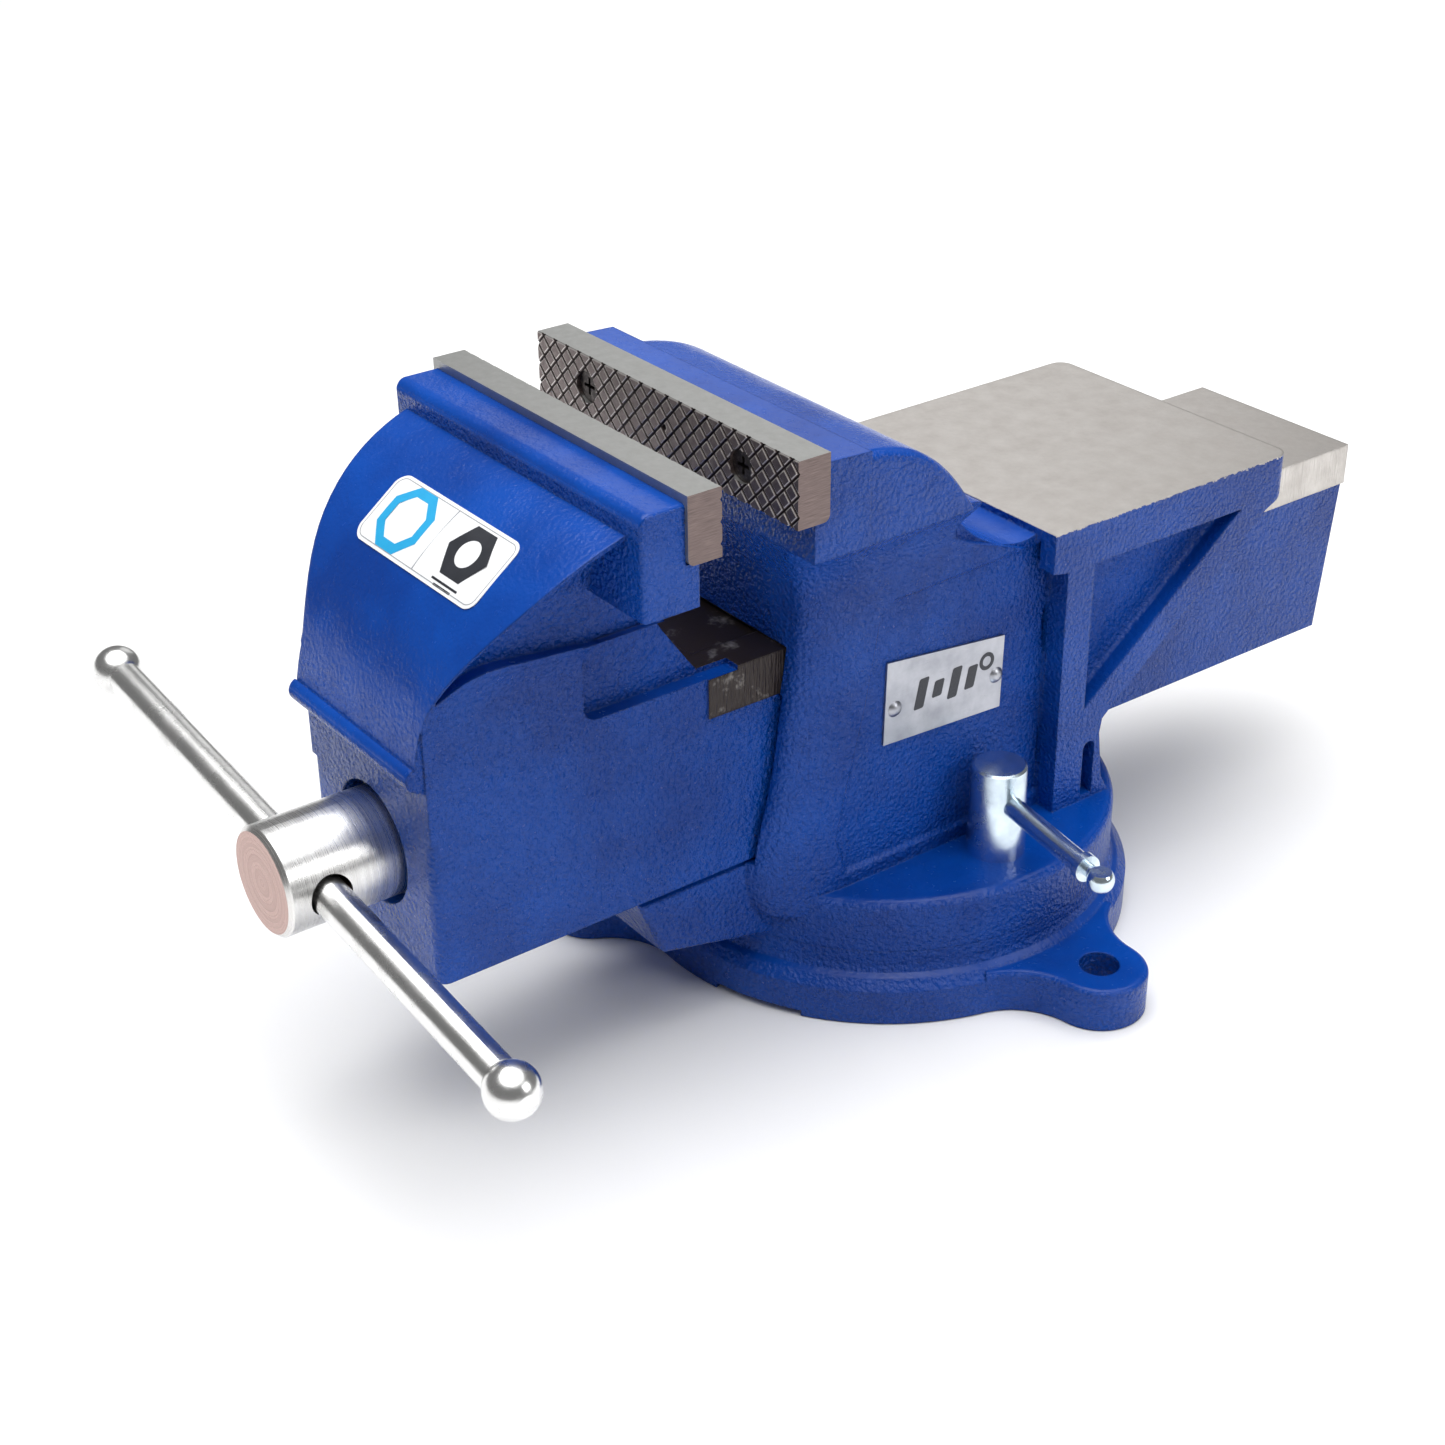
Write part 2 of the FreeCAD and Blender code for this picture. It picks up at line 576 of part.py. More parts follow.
def spindle():
    """Head, bearing journal and trapezoidal thread turned as grooves."""
    head_len = HEAD_BACK - HEAD_FRONT
    solid = cyl(HEAD_R, (0, HEAD_FRONT, SPINDLE_Z), (0, 1, 0), head_len)
    rims = edges_where(solid, lambda p: p.y < HEAD_FRONT + 0.01)
    solid = solid.makeChamfer(1.6, rims)
    journal_end = JAW_FRONT + FRONT_WALL + 26
    journal = cyl(THREAD_R, (0, HEAD_BACK - 1, SPINDLE_Z), (0, 1, 0), journal_end - HEAD_BACK + 1)
    solid = solid.fuse(journal)
    crest = SPINDLE_Z + THREAD_R
    root = crest - THREAD_DEPTH
    profile = [V(0, journal_end - 1, SPINDLE_Z), V(0, journal_end - 1, crest)]
    y = journal_end
    while y + LEAD < SPINDLE_END:
        profile += [V(0, y, crest), V(0, y + 1.3, root), V(0, y + 3.3, root), V(0, y + 4.6, crest)]
        y += LEAD
    profile += [V(0, SPINDLE_END - 2, crest), V(0, SPINDLE_END, crest - 2), V(0, SPINDLE_END, SPINDLE_Z)]
    thread = Part.Face(Part.makePolygon(profile + profile[:1]))
    solid = solid.fuse(thread.revolve(V(0, 0, SPINDLE_Z), V(0, 1, 0), 360))
    axis = along_bar(1) - along_bar(0)
    up = axis.cross(V(0, 1, 0))
    hole_start = along_bar(-40) + up * (BAR_HOLE_R - BAR_R - 0.15)
    solid = solid.cut(Part.makeCylinder(BAR_HOLE_R, 80, hole_start, axis))
    return solid.cut(cyl(PIN_R + 0.1, (0, PIN_Y, SPINDLE_Z - 20), (0, 0, 1), 40))


def washer(radius, y0):
    """Flat washer round the spindle, its front face at y0."""
    ring = cyl(radius, (0, y0, SPINDLE_Z), (0, 1, 0), WASHER_T)
    return ring.cut(cyl(WASHER_HOLE_R, (0, y0 - 1, SPINDLE_Z), (0, 1, 0), WASHER_T + 2))


def thrust_washer():
    """Hardened ring between the spindle head and the jaw."""
    return washer(20.5, JAW_FRONT + BEARING_DEPTH - WASHER_T)


def retaining_washer():
    """Plain washer that the split pin holds against the spring."""
    return washer(19.0, JAW_FRONT + FRONT_WALL + SPRING_ROOM)


def spindle_spring():
    """Coil spring that draws the jaw back when the spindle is unscrewed."""
    wire_r = 1.6
    pitch = 4.4
    coil_r = THREAD_R + 0.6 + wire_r
    path = Part.makeLongHelix(pitch, 12.4, coil_r)
    along = V(0, coil_r, pitch / (2 * math.pi)).normalize()
    section = Part.Wire([Part.makeCircle(wire_r, V(coil_r, 0, 0), along)])
    coil = Part.Wire(path.Edges).makePipeShell([section], True, True)
    coil.rotate(V(0, 0, 0), V(1, 0, 0), -90)
    coil.translate(V(0, JAW_FRONT + FRONT_WALL + wire_r + 0.2, SPINDLE_Z))
    return coil


def split_pin():
    """Split pin through the journal behind the washer, ends bent over."""
    pin = cyl(PIN_R, (0, PIN_Y, SPINDLE_Z - 17), (0, 0, 1), 33)
    eye = Part.makeTorus(3.0, 1.2, V(0, PIN_Y, SPINDLE_Z + 18.4), V(0, 1, 0))
    return pin.fuse(eye)


def lead_nut():
    """Nut block on the channel floor, standing up inside the slide."""
    half = SLIDE_HALF - SLIDE_WALL - 5.5
    body = box(-half, half, -38, 24, CHANNEL_FLOOR, SPINDLE_Z + 23)
    tops = edges_where(body, lambda p: p.z > SPINDLE_Z + 22.9 and abs(abs(p.x) - half) < 0.01)
    body = body.makeFillet(9.0, tops)
    bore = cyl(THREAD_R + FIT, (0, -60, SPINDLE_Z), (0, 1, 0), 120)
    tapped = cyl(NUT_BOLT_R + 0.05, (0, 0, CHANNEL_FLOOR - 1), (0, 0, 1), 22)
    return body.cut([bore, tapped])


def lead_nut_bolt():
    """Socket-head bolt that holds the lead nut from inside the spigot."""
    bolt = cyl(9.0, (0, 0, 18.0), (0, 0, 1), NUT_BOLT_SEAT - 18.0)
    shank = CHANNEL_FLOOR + 21 - NUT_BOLT_SEAT
    bolt = bolt.fuse(cyl(NUT_BOLT_R, (0, 0, NUT_BOLT_SEAT - 1), (0, 0, 1), shank))
    socket = Part.Face(Part.makePolygon([V(5.8 * math.cos(a), 5.8 * math.sin(a), 17.0)
                                         for a in [i * math.pi / 3 for i in range(7)]]))
    return bolt.cut(socket.extrude(V(0, 0, 7)))


# ---- handle -----------------------------------------------------------------
def handle_bar():
    """Plain round bar with a short spigot at each end for the balls."""
    axis = along_bar(1) - along_bar(0)
    shaft_len = BAR_LEFT + BAR_RIGHT - 2 * BAR_SPIGOT
    bar = Part.makeCylinder(BAR_R, shaft_len, along_bar(-BAR_LEFT + BAR_SPIGOT), axis)
    spigots = Part.makeCylinder(BAR_SPIGOT_R, BAR_LEFT + BAR_RIGHT, along_bar(-BAR_LEFT), axis)
    return bar.fuse(spigots)


def handle_ball(distance, outward):
    """Ball knob on one end of the bar; its outer end is faced flat."""
    axis = (along_bar(1) - along_bar(0)) * outward
    centre = along_bar(distance)
    ball = Part.makeSphere(BALL_R, centre, axis)
    bore = Part.makeCylinder(BAR_SPIGOT_R + 0.1, 12.1, centre - axis * 12.0, axis)
    socket = Part.makeCylinder(BAR_R + 0.05, 20.0, centre - axis * 27.0, axis)
    flat = Part.makeCylinder(BALL_R + 1, 5.0, centre + axis * (BALL_R - 1.0), axis)
    return ball.cut([bore, socket, flat])


# ---- swivel locks -----------------------------------------------------------
def lock_bolts():
    """Two T-bolts, square heads captive in the base's T-slot."""
    bolts = []
    for s in (-1, 1):
        x = s * LOCK_X
        head_low = T_FLOOR + 1.3
        bolt = box(x - 12.5, x + 12.5, -12.5, 12.5, head_low, T_SHOULDER - 0.1)
        shank_top = LOCK_BAR_Z - LOCK_BAR_R - 4
        bolt = bolt.fuse(cyl(BOLT_R, (x, 0, T_SHOULDER - 1), (0, 0, 1), shank_top - T_SHOULDER + 1))
        bolts.append(bolt)
    return Part.makeCompound(bolts)


def lock_nut():
    """Tall round nut, slightly wider at its foot, cross-drilled for the bar."""
    height = LOCK_NUT_TOP - FOOT_TOP
    nut = Part.makeCone(11.2, 10.3, height, V(LOCK_X, 0, FOOT_TOP), V(0, 0, 1))
    rim = edges_where(nut, lambda p: p.z > LOCK_NUT_TOP - 0.01)
    nut = nut.makeChamfer(0.8, rim)
    bore_top = LOCK_BAR_Z - LOCK_BAR_R - 2
    nut = nut.cut(cyl(BOLT_R + 0.05, (LOCK_X, 0, FOOT_TOP - 1), (0, 0, 1), bore_top - FOOT_TOP + 1))
    return nut.cut(lock_rod(LOCK_BAR_R + 0.02, -30, 60))


def lock_rod(radius, start, end):
    """Cylinder on the lock bar's axis, between two distances from the nut."""
    a = math.radians(LOCK_BAR_ANGLE)
    axis = V(math.cos(a), math.sin(a), 0)
    return Part.makeCylinder(radius, end - start, V(LOCK_X, 0, LOCK_BAR_Z) + axis * start, axis)


def lock_bar():
    """Bar through the nut, with a collar and a neck for its end knob."""
    bar = lock_rod(LOCK_BAR_R, -10.0, LOCK_BAR_END - 5.0)
    collar = lock_rod(LOCK_BAR_R + 1.1, LOCK_BAR_END - 7.0, LOCK_BAR_END - 3.5)
    neck = lock_rod(2.6, LOCK_BAR_END - 5.0, LOCK_BAR_END + 3.0)
    return fuse_all([bar, collar, neck])


def lock_knob():
    """Small end knob pressed on the bar's neck, flattened on top."""
    a = math.radians(LOCK_BAR_ANGLE)
    centre = V(LOCK_X, 0, LOCK_BAR_Z) + V(math.cos(a), math.sin(a), 0) * (LOCK_BAR_END + 4.2)
    knob = Part.makeSphere(5.0, centre)
    knob = knob.cut(lock_rod(2.62, LOCK_BAR_END - 6.0, LOCK_BAR_END + 3.02))
    return knob.cut(box(centre.x - 6, centre.x + 6, centre.y - 6, centre.y + 6,
                        centre.z + 3.2, centre.z + 6))


# ---- name plate and label ---------------------------------------------------
PLATE_SPOTS = ((-40.0, 115.4), (9.0, 113.1))      # rivets, Y and Z


def rivet_shanks(radius):
    """Shanks of the two name plate rivets."""
    return [cyl(radius, (COLUMN_HALF - 5.0, y, z), (1, 0, 0), 8.0) for y, z in PLATE_SPOTS]


def name_plate():
    """Thin plate on the column's side, a little taller at its front end."""
    outline = [(-44.0, 135.0), (12.4, 128.6), (11.6, 99.1), (-45.0, 101.9)]
    plate = yz_prism(outline, COLUMN_HALF, COLUMN_HALF + 1.0)
    return plate.cut(rivet_shanks(1.6))


def name_plate_rivets():
    """Two drive rivets with domed heads."""
    rivets = []
    for (y, z), shank in zip(PLATE_SPOTS, rivet_shanks(1.45)):
        dome = Part.makeSphere(4.0, V(COLUMN_HALF + 1.0 - 2.4, y, z))
        dome = dome.common(box(COLUMN_HALF + 1.0, COLUMN_HALF + 8, y - 5, y + 5, z - 5, z + 5))
        shank = shank.cut(box(COLUMN_HALF + 1.5, COLUMN_HALF + 9, y - 5, y + 5, z - 5, z + 5))
        rivets.append(dome.fuse(shank))
    return Part.makeCompound(rivets)


def shield_label():
    """Sticker on the shield: a skin 0.4 mm thick, just off the casting."""
    span = shield_arc(LABEL_TOP_Y, LABEL_LOW_Y)
    inner = [V(0, y - 0.06, z + 0.08) for y, z in span]
    outer = [V(0, y - 0.26, z + 0.42) for y, z in span]
    face = Part.Face(Part.Wire([
        spline(inner), line(inner[-1], outer[-1]), spline(outer), line(outer[0], inner[0])]))
    skin = face.extrude(V(LABEL_RIGHT - LABEL_LEFT, 0, 0))
    skin.translate(V(LABEL_LEFT, 0, 0))
    return skin


# ---- write every node -------------------------------------------------------
NODES = {
    "swivel_base": swivel_base,
    "fixed_jaw": fixed_jaw,
    "fixed_jaw_plate": lambda: jaw_plate(GRIP_Y, 1),
    "fixed_jaw_screws": lambda: plate_screws(GRIP_Y, 1),
    "lead_nut": lead_nut,
    "lead_nut_bolt": lead_nut_bolt,
    "lock_bolts": lock_bolts,
    "name_plate": name_plate,
    "name_plate_rivets": name_plate_rivets,
    "moving_jaw": moving_jaw,
    "moving_jaw_plate": lambda: jaw_plate(GRIP_Y - OPENING, -1),
    "moving_jaw_screws": lambda: plate_screws(GRIP_Y - OPENING, -1),
    "thrust_washer": thrust_washer,
    "shield_label": shield_label,
    "spindle": spindle,
    "spindle_spring": spindle_spring,
    "retaining_washer": retaining_washer,
    "split_pin": split_pin,
    "handle_bar": handle_bar,
    "handle_ball_left": lambda: handle_ball(-BAR_LEFT, -1),
    "handle_ball_right": lambda: handle_ball(BAR_RIGHT, 1),
    "lock_nut_right": lock_nut,
    "lock_bar_right": lock_bar,
    "lock_knob_right": lock_knob,
    "lock_nut_left": lambda: mirrored(lock_nut()),
    "lock_bar_left": lambda: mirrored(lock_bar()),
    "lock_knob_left": lambda: mirrored(lock_knob()),
}

for node, make in NODES.items():
    save(node, make())
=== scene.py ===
import math

import bmesh
import bpy
import numpy as np
from mathutils import Matrix, Vector


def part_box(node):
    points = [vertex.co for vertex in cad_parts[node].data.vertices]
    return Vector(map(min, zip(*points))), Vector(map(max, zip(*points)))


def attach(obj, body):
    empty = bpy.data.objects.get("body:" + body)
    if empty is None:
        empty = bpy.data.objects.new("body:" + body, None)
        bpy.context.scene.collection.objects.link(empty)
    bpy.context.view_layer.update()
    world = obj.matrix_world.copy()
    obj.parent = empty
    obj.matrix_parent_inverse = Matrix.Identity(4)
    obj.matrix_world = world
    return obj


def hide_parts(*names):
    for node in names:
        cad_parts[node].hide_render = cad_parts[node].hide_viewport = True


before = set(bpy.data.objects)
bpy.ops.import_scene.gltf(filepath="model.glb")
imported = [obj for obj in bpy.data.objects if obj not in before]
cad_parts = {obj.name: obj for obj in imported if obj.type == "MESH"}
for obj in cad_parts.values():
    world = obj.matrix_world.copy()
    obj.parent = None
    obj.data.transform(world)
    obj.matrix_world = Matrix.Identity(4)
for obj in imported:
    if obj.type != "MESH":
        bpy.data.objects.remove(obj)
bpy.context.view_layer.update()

# ---- castings --------------------------------------------------------------
# The base ring and both jaw castings are sand-cast iron under thick glossy
# blue enamel.  The paint follows the sand grain on the sides, and lies smooth
# on the faces that were dressed before painting.

MM = 1000.0                 # millimetres in a metre
ENAMEL = (0.0010, 0.058, 0.35, 1.0)
ENAMEL_DEEP = (0.0008, 0.036, 0.24, 1.0)
PRIMER = (0.10, 0.11, 0.14, 1.0)
MILLED = (0.66, 0.63, 0.60, 1.0)
MILLED_DULL = (0.47, 0.44, 0.415, 1.0)
GREASE = (0.030, 0.022, 0.020, 1.0)
EDGE_ROUND = 0.0014         # metres
SAND_RISE = 2.1             # full swing of the sand grain on rough faces
DRESSED_RISE = 0.25         # and on dressed ones
FINE_SHARE = 0.28           # fine grain's height beside the pebbles' height
SAG_RISE = 0.9              # slow waves where the enamel ran


class Finish:
    """A node material under construction; lengths inside it are millimetres."""

    def __init__(self, name):
        self.material = bpy.data.materials.new(name)
        self.material.use_nodes = True
        self.tree = self.material.node_tree
        self.skin = self.tree.nodes["Principled BSDF"]
        coordinates = self.node("ShaderNodeTexCoord")
        self.object = coordinates.outputs["Object"]
        self.normal = coordinates.outputs["Normal"]
        self.place = self.node("ShaderNodeVectorMath", {0: self.object, 1: (MM,) * 3},
                               operation="MULTIPLY").outputs[0]
        axes = self.node("ShaderNodeSeparateXYZ", {0: self.place})
        self.x, self.y, self.z = axes.outputs
        facing = self.node("ShaderNodeSeparateXYZ", {0: self.normal})
        self.nx, self.ny, self.nz = facing.outputs

    def feed(self, socket, value):
        """Gives an input a constant or another node's output."""
        if isinstance(value, bpy.types.NodeSocket):
            self.tree.links.new(value, socket)
        else:
            socket.default_value = value

    def node(self, kind, feeds=None, **settings):
        """A node of one kind, with its settings made and its inputs fed."""
        made = self.tree.nodes.new(kind)
        for key, value in settings.items():
            setattr(made, key, value)
        for socket, value in (feeds or {}).items():
            self.feed(made.inputs[socket], value)
        return made

    def math(self, operation, a, b=0.0, clamp=False):
        """One sum on numbers."""
        return self.node("ShaderNodeMath", {0: a, 1: b},
                         operation=operation, use_clamp=clamp).outputs[0]

    def above(self, value, edge, soft=0.1):
        """0 below edge and 1 above it, over a ramp soft wide."""
        past = self.math("DIVIDE", self.math("SUBTRACT", value, edge), soft)
        return self.math("ADD", past, 0.5, True)

    def between(self, value, low, high, soft=0.1):
        """1 from low to high and 0 outside."""
        inside = self.math("SUBTRACT", 1.0, self.above(value, high, soft))
        return self.math("MULTIPLY", self.above(value, low, soft), inside)

    def every(self, *masks):
        """1 where every mask is 1."""
        product = masks[0]
        for mask in masks[1:]:
            product = self.math("MULTIPLY", product, mask)
        return product

    def any(self, *masks):
        """1 where any mask is 1."""
        largest = masks[0]
        for mask in masks[1:]:
            largest = self.math("MAXIMUM", largest, mask)
        return largest

    def noise(self, per_mm, detail=2.0, roughness=0.5, stretch=(1.0, 1.0, 1.0), at=None):
        """Noise with per_mm waves in a millimetre, squeezed by stretch."""
        where = self.node("ShaderNodeVectorMath", {0: at or self.place, 1: stretch},
                          operation="MULTIPLY")
        return self.node("ShaderNodeTexNoise", {
            "Vector": where.outputs[0], "Scale": per_mm,
            "Detail": detail, "Roughness": roughness}).outputs[0]

    def blend(self, share, a, b):
        """Number a where share is 0 and b where it is 1."""
        return self.node("ShaderNodeMix", {0: share, 2: a, 3: b}, data_type="FLOAT").outputs[0]

    def tint(self, share, a, b):
        """Colour a where share is 0 and b where it is 1."""
        return self.node("ShaderNodeMix", {0: share, 6: a, 7: b}, data_type="RGBA").outputs[2]

    def steps(self, value, low, high):
        """Value stretched so that low becomes 0 and high becomes 1."""
        return self.node("ShaderNodeMapRange", {0: value, 1: low, 2: high}).outputs[0]

    def relief(self, height, under=None, strength=1.0):
        """Bump from a height in millimetres, over the normal under it."""
        feeds = {"Height": height, "Distance": 1 / MM, "Strength": strength}
        if under is not None:
            feeds["Normal"] = under
        return self.node("ShaderNodeBump", feeds).outputs[0]

    def radius_about(self, x, z):
        """Distance from a line along Y through x, z."""
        dx = self.math("SUBTRACT", self.x, x)
        dz = self.math("SUBTRACT", self.z, z)
        square = self.math("ADD", self.math("MULTIPLY", dx, dx), self.math("MULTIPLY", dz, dz))
        return self.math("SQRT", square)

    def set(self, **values):
        """Feeds the skin's sockets, each by its name with _ for spaces."""
        for name, value in values.items():
            self.feed(self.skin.inputs[name.replace("_", " ")], value)


def mm(node):
    """A CAD node's lowest and highest corners in millimetres."""
    low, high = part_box(node)
    return np.array(low) * MM, np.array(high) * MM


def paint(node, finish):
    """Gives a CAD node one finished material."""
    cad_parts[node].data.materials.clear()
    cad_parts[node].data.materials.append(finish.material)


def enamel_coat(f, dressed):
    """Colour, roughness and height of enamel, smooth where dressed is 1.

    The height is pebbles plus finer grain plus slow sags.  The colour drifts
    between two blues, and a few small chips show the primer.
    """
    pebble = f.noise(0.62, 1.5, 0.45)
    fine = f.noise(1.5, 2.0, 0.5)
    sand = f.math("ADD", pebble, f.math("MULTIPLY", fine, FINE_SHARE))
    sag = f.noise(0.045, 1.0, 0.4)
    rise = f.blend(dressed, SAND_RISE, DRESSED_RISE)
    height = f.math("ADD", f.math("MULTIPLY", sand, rise), f.math("MULTIPLY", sag, SAG_RISE))
    cloud = f.steps(f.noise(0.02, 3.0, 0.6), 0.35, 0.65)
    speck = f.steps(f.noise(0.16, 4.0, 0.7), 0.72, 0.74)
    patch = f.steps(f.noise(0.013, 2.0), 0.60, 0.64)
    blue = f.tint(f.every(speck, patch), f.tint(cloud, ENAMEL, ENAMEL_DEEP), PRIMER)
    roughness = f.blend(f.noise(0.3, 2.0), 0.18, 0.32)
    return blue, roughness, height


def cut_iron(f, oil):
    """Colour, roughness and metalness of milled iron, brown where oil is 1."""
    mottle = f.steps(f.noise(0.10, 5.0, 0.65), 0.25, 0.80)
    oily = f.math("MULTIPLY", oil, f.steps(f.noise(0.09, 4.0, 0.7), 0.10, 0.42))
    metal = f.tint(oily, f.tint(mottle, MILLED, MILLED_DULL), GREASE)
    roughness = f.blend(oily, f.blend(mottle, 0.34, 0.48), 0.28)
    return metal, roughness, f.blend(oily, 0.95, 0.35)


def cast_enamel(name, smooth, milled=None, greasy=None, grain=None):
    """Enamel over sand casting, bare where milled, and brown where greasy.

    smooth, milled and greasy take the Finish and return masks, and grain the
    height of the cutter's marks on the bare faces.  With no milled mask the
    casting is painted all over.
    """
    f = Finish(name)
    colour, roughness, height = enamel_coat(f, smooth(f))
    if milled is not None:
        bare = milled(f)
        metal, metal_roughness, metalness = cut_iron(f, greasy(f))
        colour = f.tint(bare, colour, metal)
        roughness = f.blend(bare, roughness, metal_roughness)
        height = f.blend(bare, height, grain(f))
        f.set(Metallic=f.math("MULTIPLY", bare, metalness))
    rounded = f.node("ShaderNodeBevel", {"Radius": EDGE_ROUND}, samples=4).outputs[0]
    f.set(
        Base_Color=colour,
        Roughness=roughness,
        Normal=f.relief(height, rounded, 0.85),
        Specular_IOR_Level=0.28,
        Coat_Weight=0.06,
        Coat_Roughness=0.12,
    )
    return f


def facing_up(f):
    """Faces that look upward were dressed with a grinder before painting."""
    return f.steps(f.nz, 0.45, 0.85)


paint("swivel_base", cast_enamel("base_enamel", facing_up))

# ---- fixed jaw -------------------------------------------------------------
# Rear casting.  The anvil's top is ground bare, and the guide way that the
# slide runs in is milled and greased.

ANVIL_TOP = 167.7
ANVIL_START = 26.0
ANVIL_SIDE = 63.0
CHIP_DEPTH = 1.6            # how far paint is chipped down the anvil's sides
CHIP_BAND = 3.0
GUIDE_HALF = 40.9
GUIDE_LOW = 129.4
GUIDE_REACH = 100.0
SLIDE_TOP = 147.0


def anvil_face(f):
    """Top of the anvil, with paint chipped back along its long edges."""
    behind = f.above(f.y, ANVIL_START)
    top = f.every(f.above(f.z, ANVIL_TOP - 0.25), behind)
    side = f.math("SUBTRACT", ANVIL_SIDE, f.math("ABSOLUTE", f.x))
    chips = f.math("MULTIPLY", f.steps(f.noise(0.5, 4.0, 0.7), 0.40, 0.75), CHIP_DEPTH)
    depth = f.math("SUBTRACT", ANVIL_TOP, f.z)
    chipped = f.every(behind, f.above(chips, depth, 0.15), f.above(0.6, side, 0.1),
                      f.above(f.z, ANVIL_TOP - CHIP_BAND))
    return f.any(top, chipped)


def guide_way(f):
    """Milled sides and roof of the slide's tunnel."""
    across = f.math("ABSOLUTE", f.x)
    return f.every(f.above(GUIDE_HALF, across, 0.05),
                   f.between(f.z, GUIDE_LOW, SLIDE_TOP + 0.6, 0.05),
                   f.above(GUIDE_REACH, f.math("ABSOLUTE", f.y), 0.1))


def fine_grain(f):
    """Ground finish, a shallow even grain."""
    return f.math("MULTIPLY", f.noise(2.2, 3.0, 0.6), 0.05)


paint("fixed_jaw", cast_enamel(
    "fixed_jaw_enamel", facing_up, lambda f: f.any(anvil_face(f), guide_way(f)),
    guide_way, fine_grain))

# ---- moving jaw ------------------------------------------------------------
# Front casting.  Its slide has milled lands along both top edges and a ground
# top; the shield in front is dressed smooth under the enamel.

LAND_HALF = 40.1
LAND_START = -112.4
LAND_LOW = SLIDE_TOP - 17.1
RAIL_TOP = SLIDE_TOP - 1.6
SLIDE_END = mm("moving_jaw")[1][1]
SPINDLE_Z = 103.2
WASHER_SEAT_R = 22.2
BEARING_Y = -200.0          # the bearing and the washer's seat lie in front of this
OIL_THICK, OIL_THIN = -60.0, 40.0      # Y where grease is thickest, and where it ends


def lands(f):
    """Milled sides of the slide's top edge and the ground top between them.

    The slide's far end and the thrust washer's seat are cut bare as well.
    """
    across = f.math("ABSOLUTE", f.x)
    sides = f.every(f.above(across, LAND_HALF, 0.05),
                    f.between(f.z, LAND_LOW, SLIDE_TOP + 0.1, 0.05))
    top = f.every(f.above(f.z, RAIL_TOP, 0.05), f.above(f.nz, 0.6, 0.1),
                  f.above(SLIDE_TOP + 0.4, f.z))
    along = f.every(f.above(f.y, LAND_START - 0.3), f.above(GUIDE_HALF + 0.1, across, 0.05))
    ends = f.every(f.above(f.y, SLIDE_END - 0.4), f.above(f.z, LAND_LOW))
    seat = f.every(f.above(WASHER_SEAT_R, f.radius_about(0.0, SPINDLE_Z)),
                   f.above(BEARING_Y, f.y))
    return f.any(f.every(f.any(sides, top), along), ends, seat)


def slide_grease(f):
    """Brown oil on the front of the slide and in the spindle's bearing."""
    return f.any(f.steps(f.y, OIL_THIN, OIL_THICK), f.above(BEARING_Y, f.y))


def shield_and_tops(f):
    """Dressed faces: everything that looks up or up and forward."""
    tilt = f.math("ADD", f.math("MULTIPLY", f.ny, -0.55), f.math("MULTIPLY", f.nz, 0.83))
    return f.any(f.steps(tilt, 0.55, 0.80), facing_up(f))


def cutter_marks(f):
    """Fine grain on top, and upright cutter marks on the lands' sides."""
    across = f.math("ABSOLUTE", f.nx)
    marks = f.math("MULTIPLY", f.noise(1.1, 2.0, 0.5, (0.2, 1.0, 0.10)), 0.9)
    return f.blend(f.above(across, 0.5), fine_grain(f), marks)


paint("moving_jaw", cast_enamel(
    "moving_jaw_enamel", shield_and_tops, lands, slide_grease, cutter_marks))

# ---- jaw plates ------------------------------------------------------------
# Hardened steel plates, ground on top, milled on the ends, with two sets of
# V grooves cut crosswise over the grip face.  Two screws sit in counterbores.

GROOVE_SPACING = 7.5        # along the jaw
GROOVE_HALF = 0.75
GROOVE_DEPTH = 0.75
GROOVE_SHADE = 0.38         # painted shade darkens the grooves below this depth
GRIP_CLEAR = 0.06           # the diamonds' crests are ground back by this much
SCREW_SPAN = 44.5           # the screws' distance from the plate's middle
SCREW_WINDOW = 7.5          # half width of the square round a screw's bore
SCREW_BORE = 5.9
BORE_DEPTH = 7.6
PUNCH_X, PUNCH_R, PUNCH_DEPTH = 2.0, 1.6, 1.1
LOWER_ROUND = 2.5
TOP_BEVEL = 0.4
END_CELLS, WINDOW_CELLS, MIDDLE_CELLS, EDGE_CELLS = 55, 36, 180, 12
RING_STEPS = 6

GROUND_STEEL = (0.41, 0.415, 0.405, 1.0)
GROUND_STEEL_DULL = (0.34, 0.34, 0.33, 1.0)
MILLED_END = (0.235, 0.180, 0.170, 1.0)
MILLED_END_DARK = (0.135, 0.105, 0.100, 1.0)
GRIP_BROWN = (0.13, 0.10, 0.10, 1.0)
GRIP_BROWN_PALE = (0.22, 0.185, 0.18, 1.0)
GROOVE_PAINTED_SHADE = (0.02, 0.014, 0.013, 1.0)
CREST_BRIGHT = (0.70, 0.66, 0.63, 1.0)


def grid_faces(rows, columns, first, closed):
    """Quads of a rows by columns grid of points, counted from first."""
    wrap = columns if closed else columns - 1
    r, c = np.meshgrid(np.arange(rows - 1), np.arange(wrap), indexing="ij")
    here = r * columns + c
    side = r * columns + (c + 1) % columns
    quads = np.stack([here, side, side + columns, here + columns], axis=-1)
    return quads.reshape(-1, 4) + first


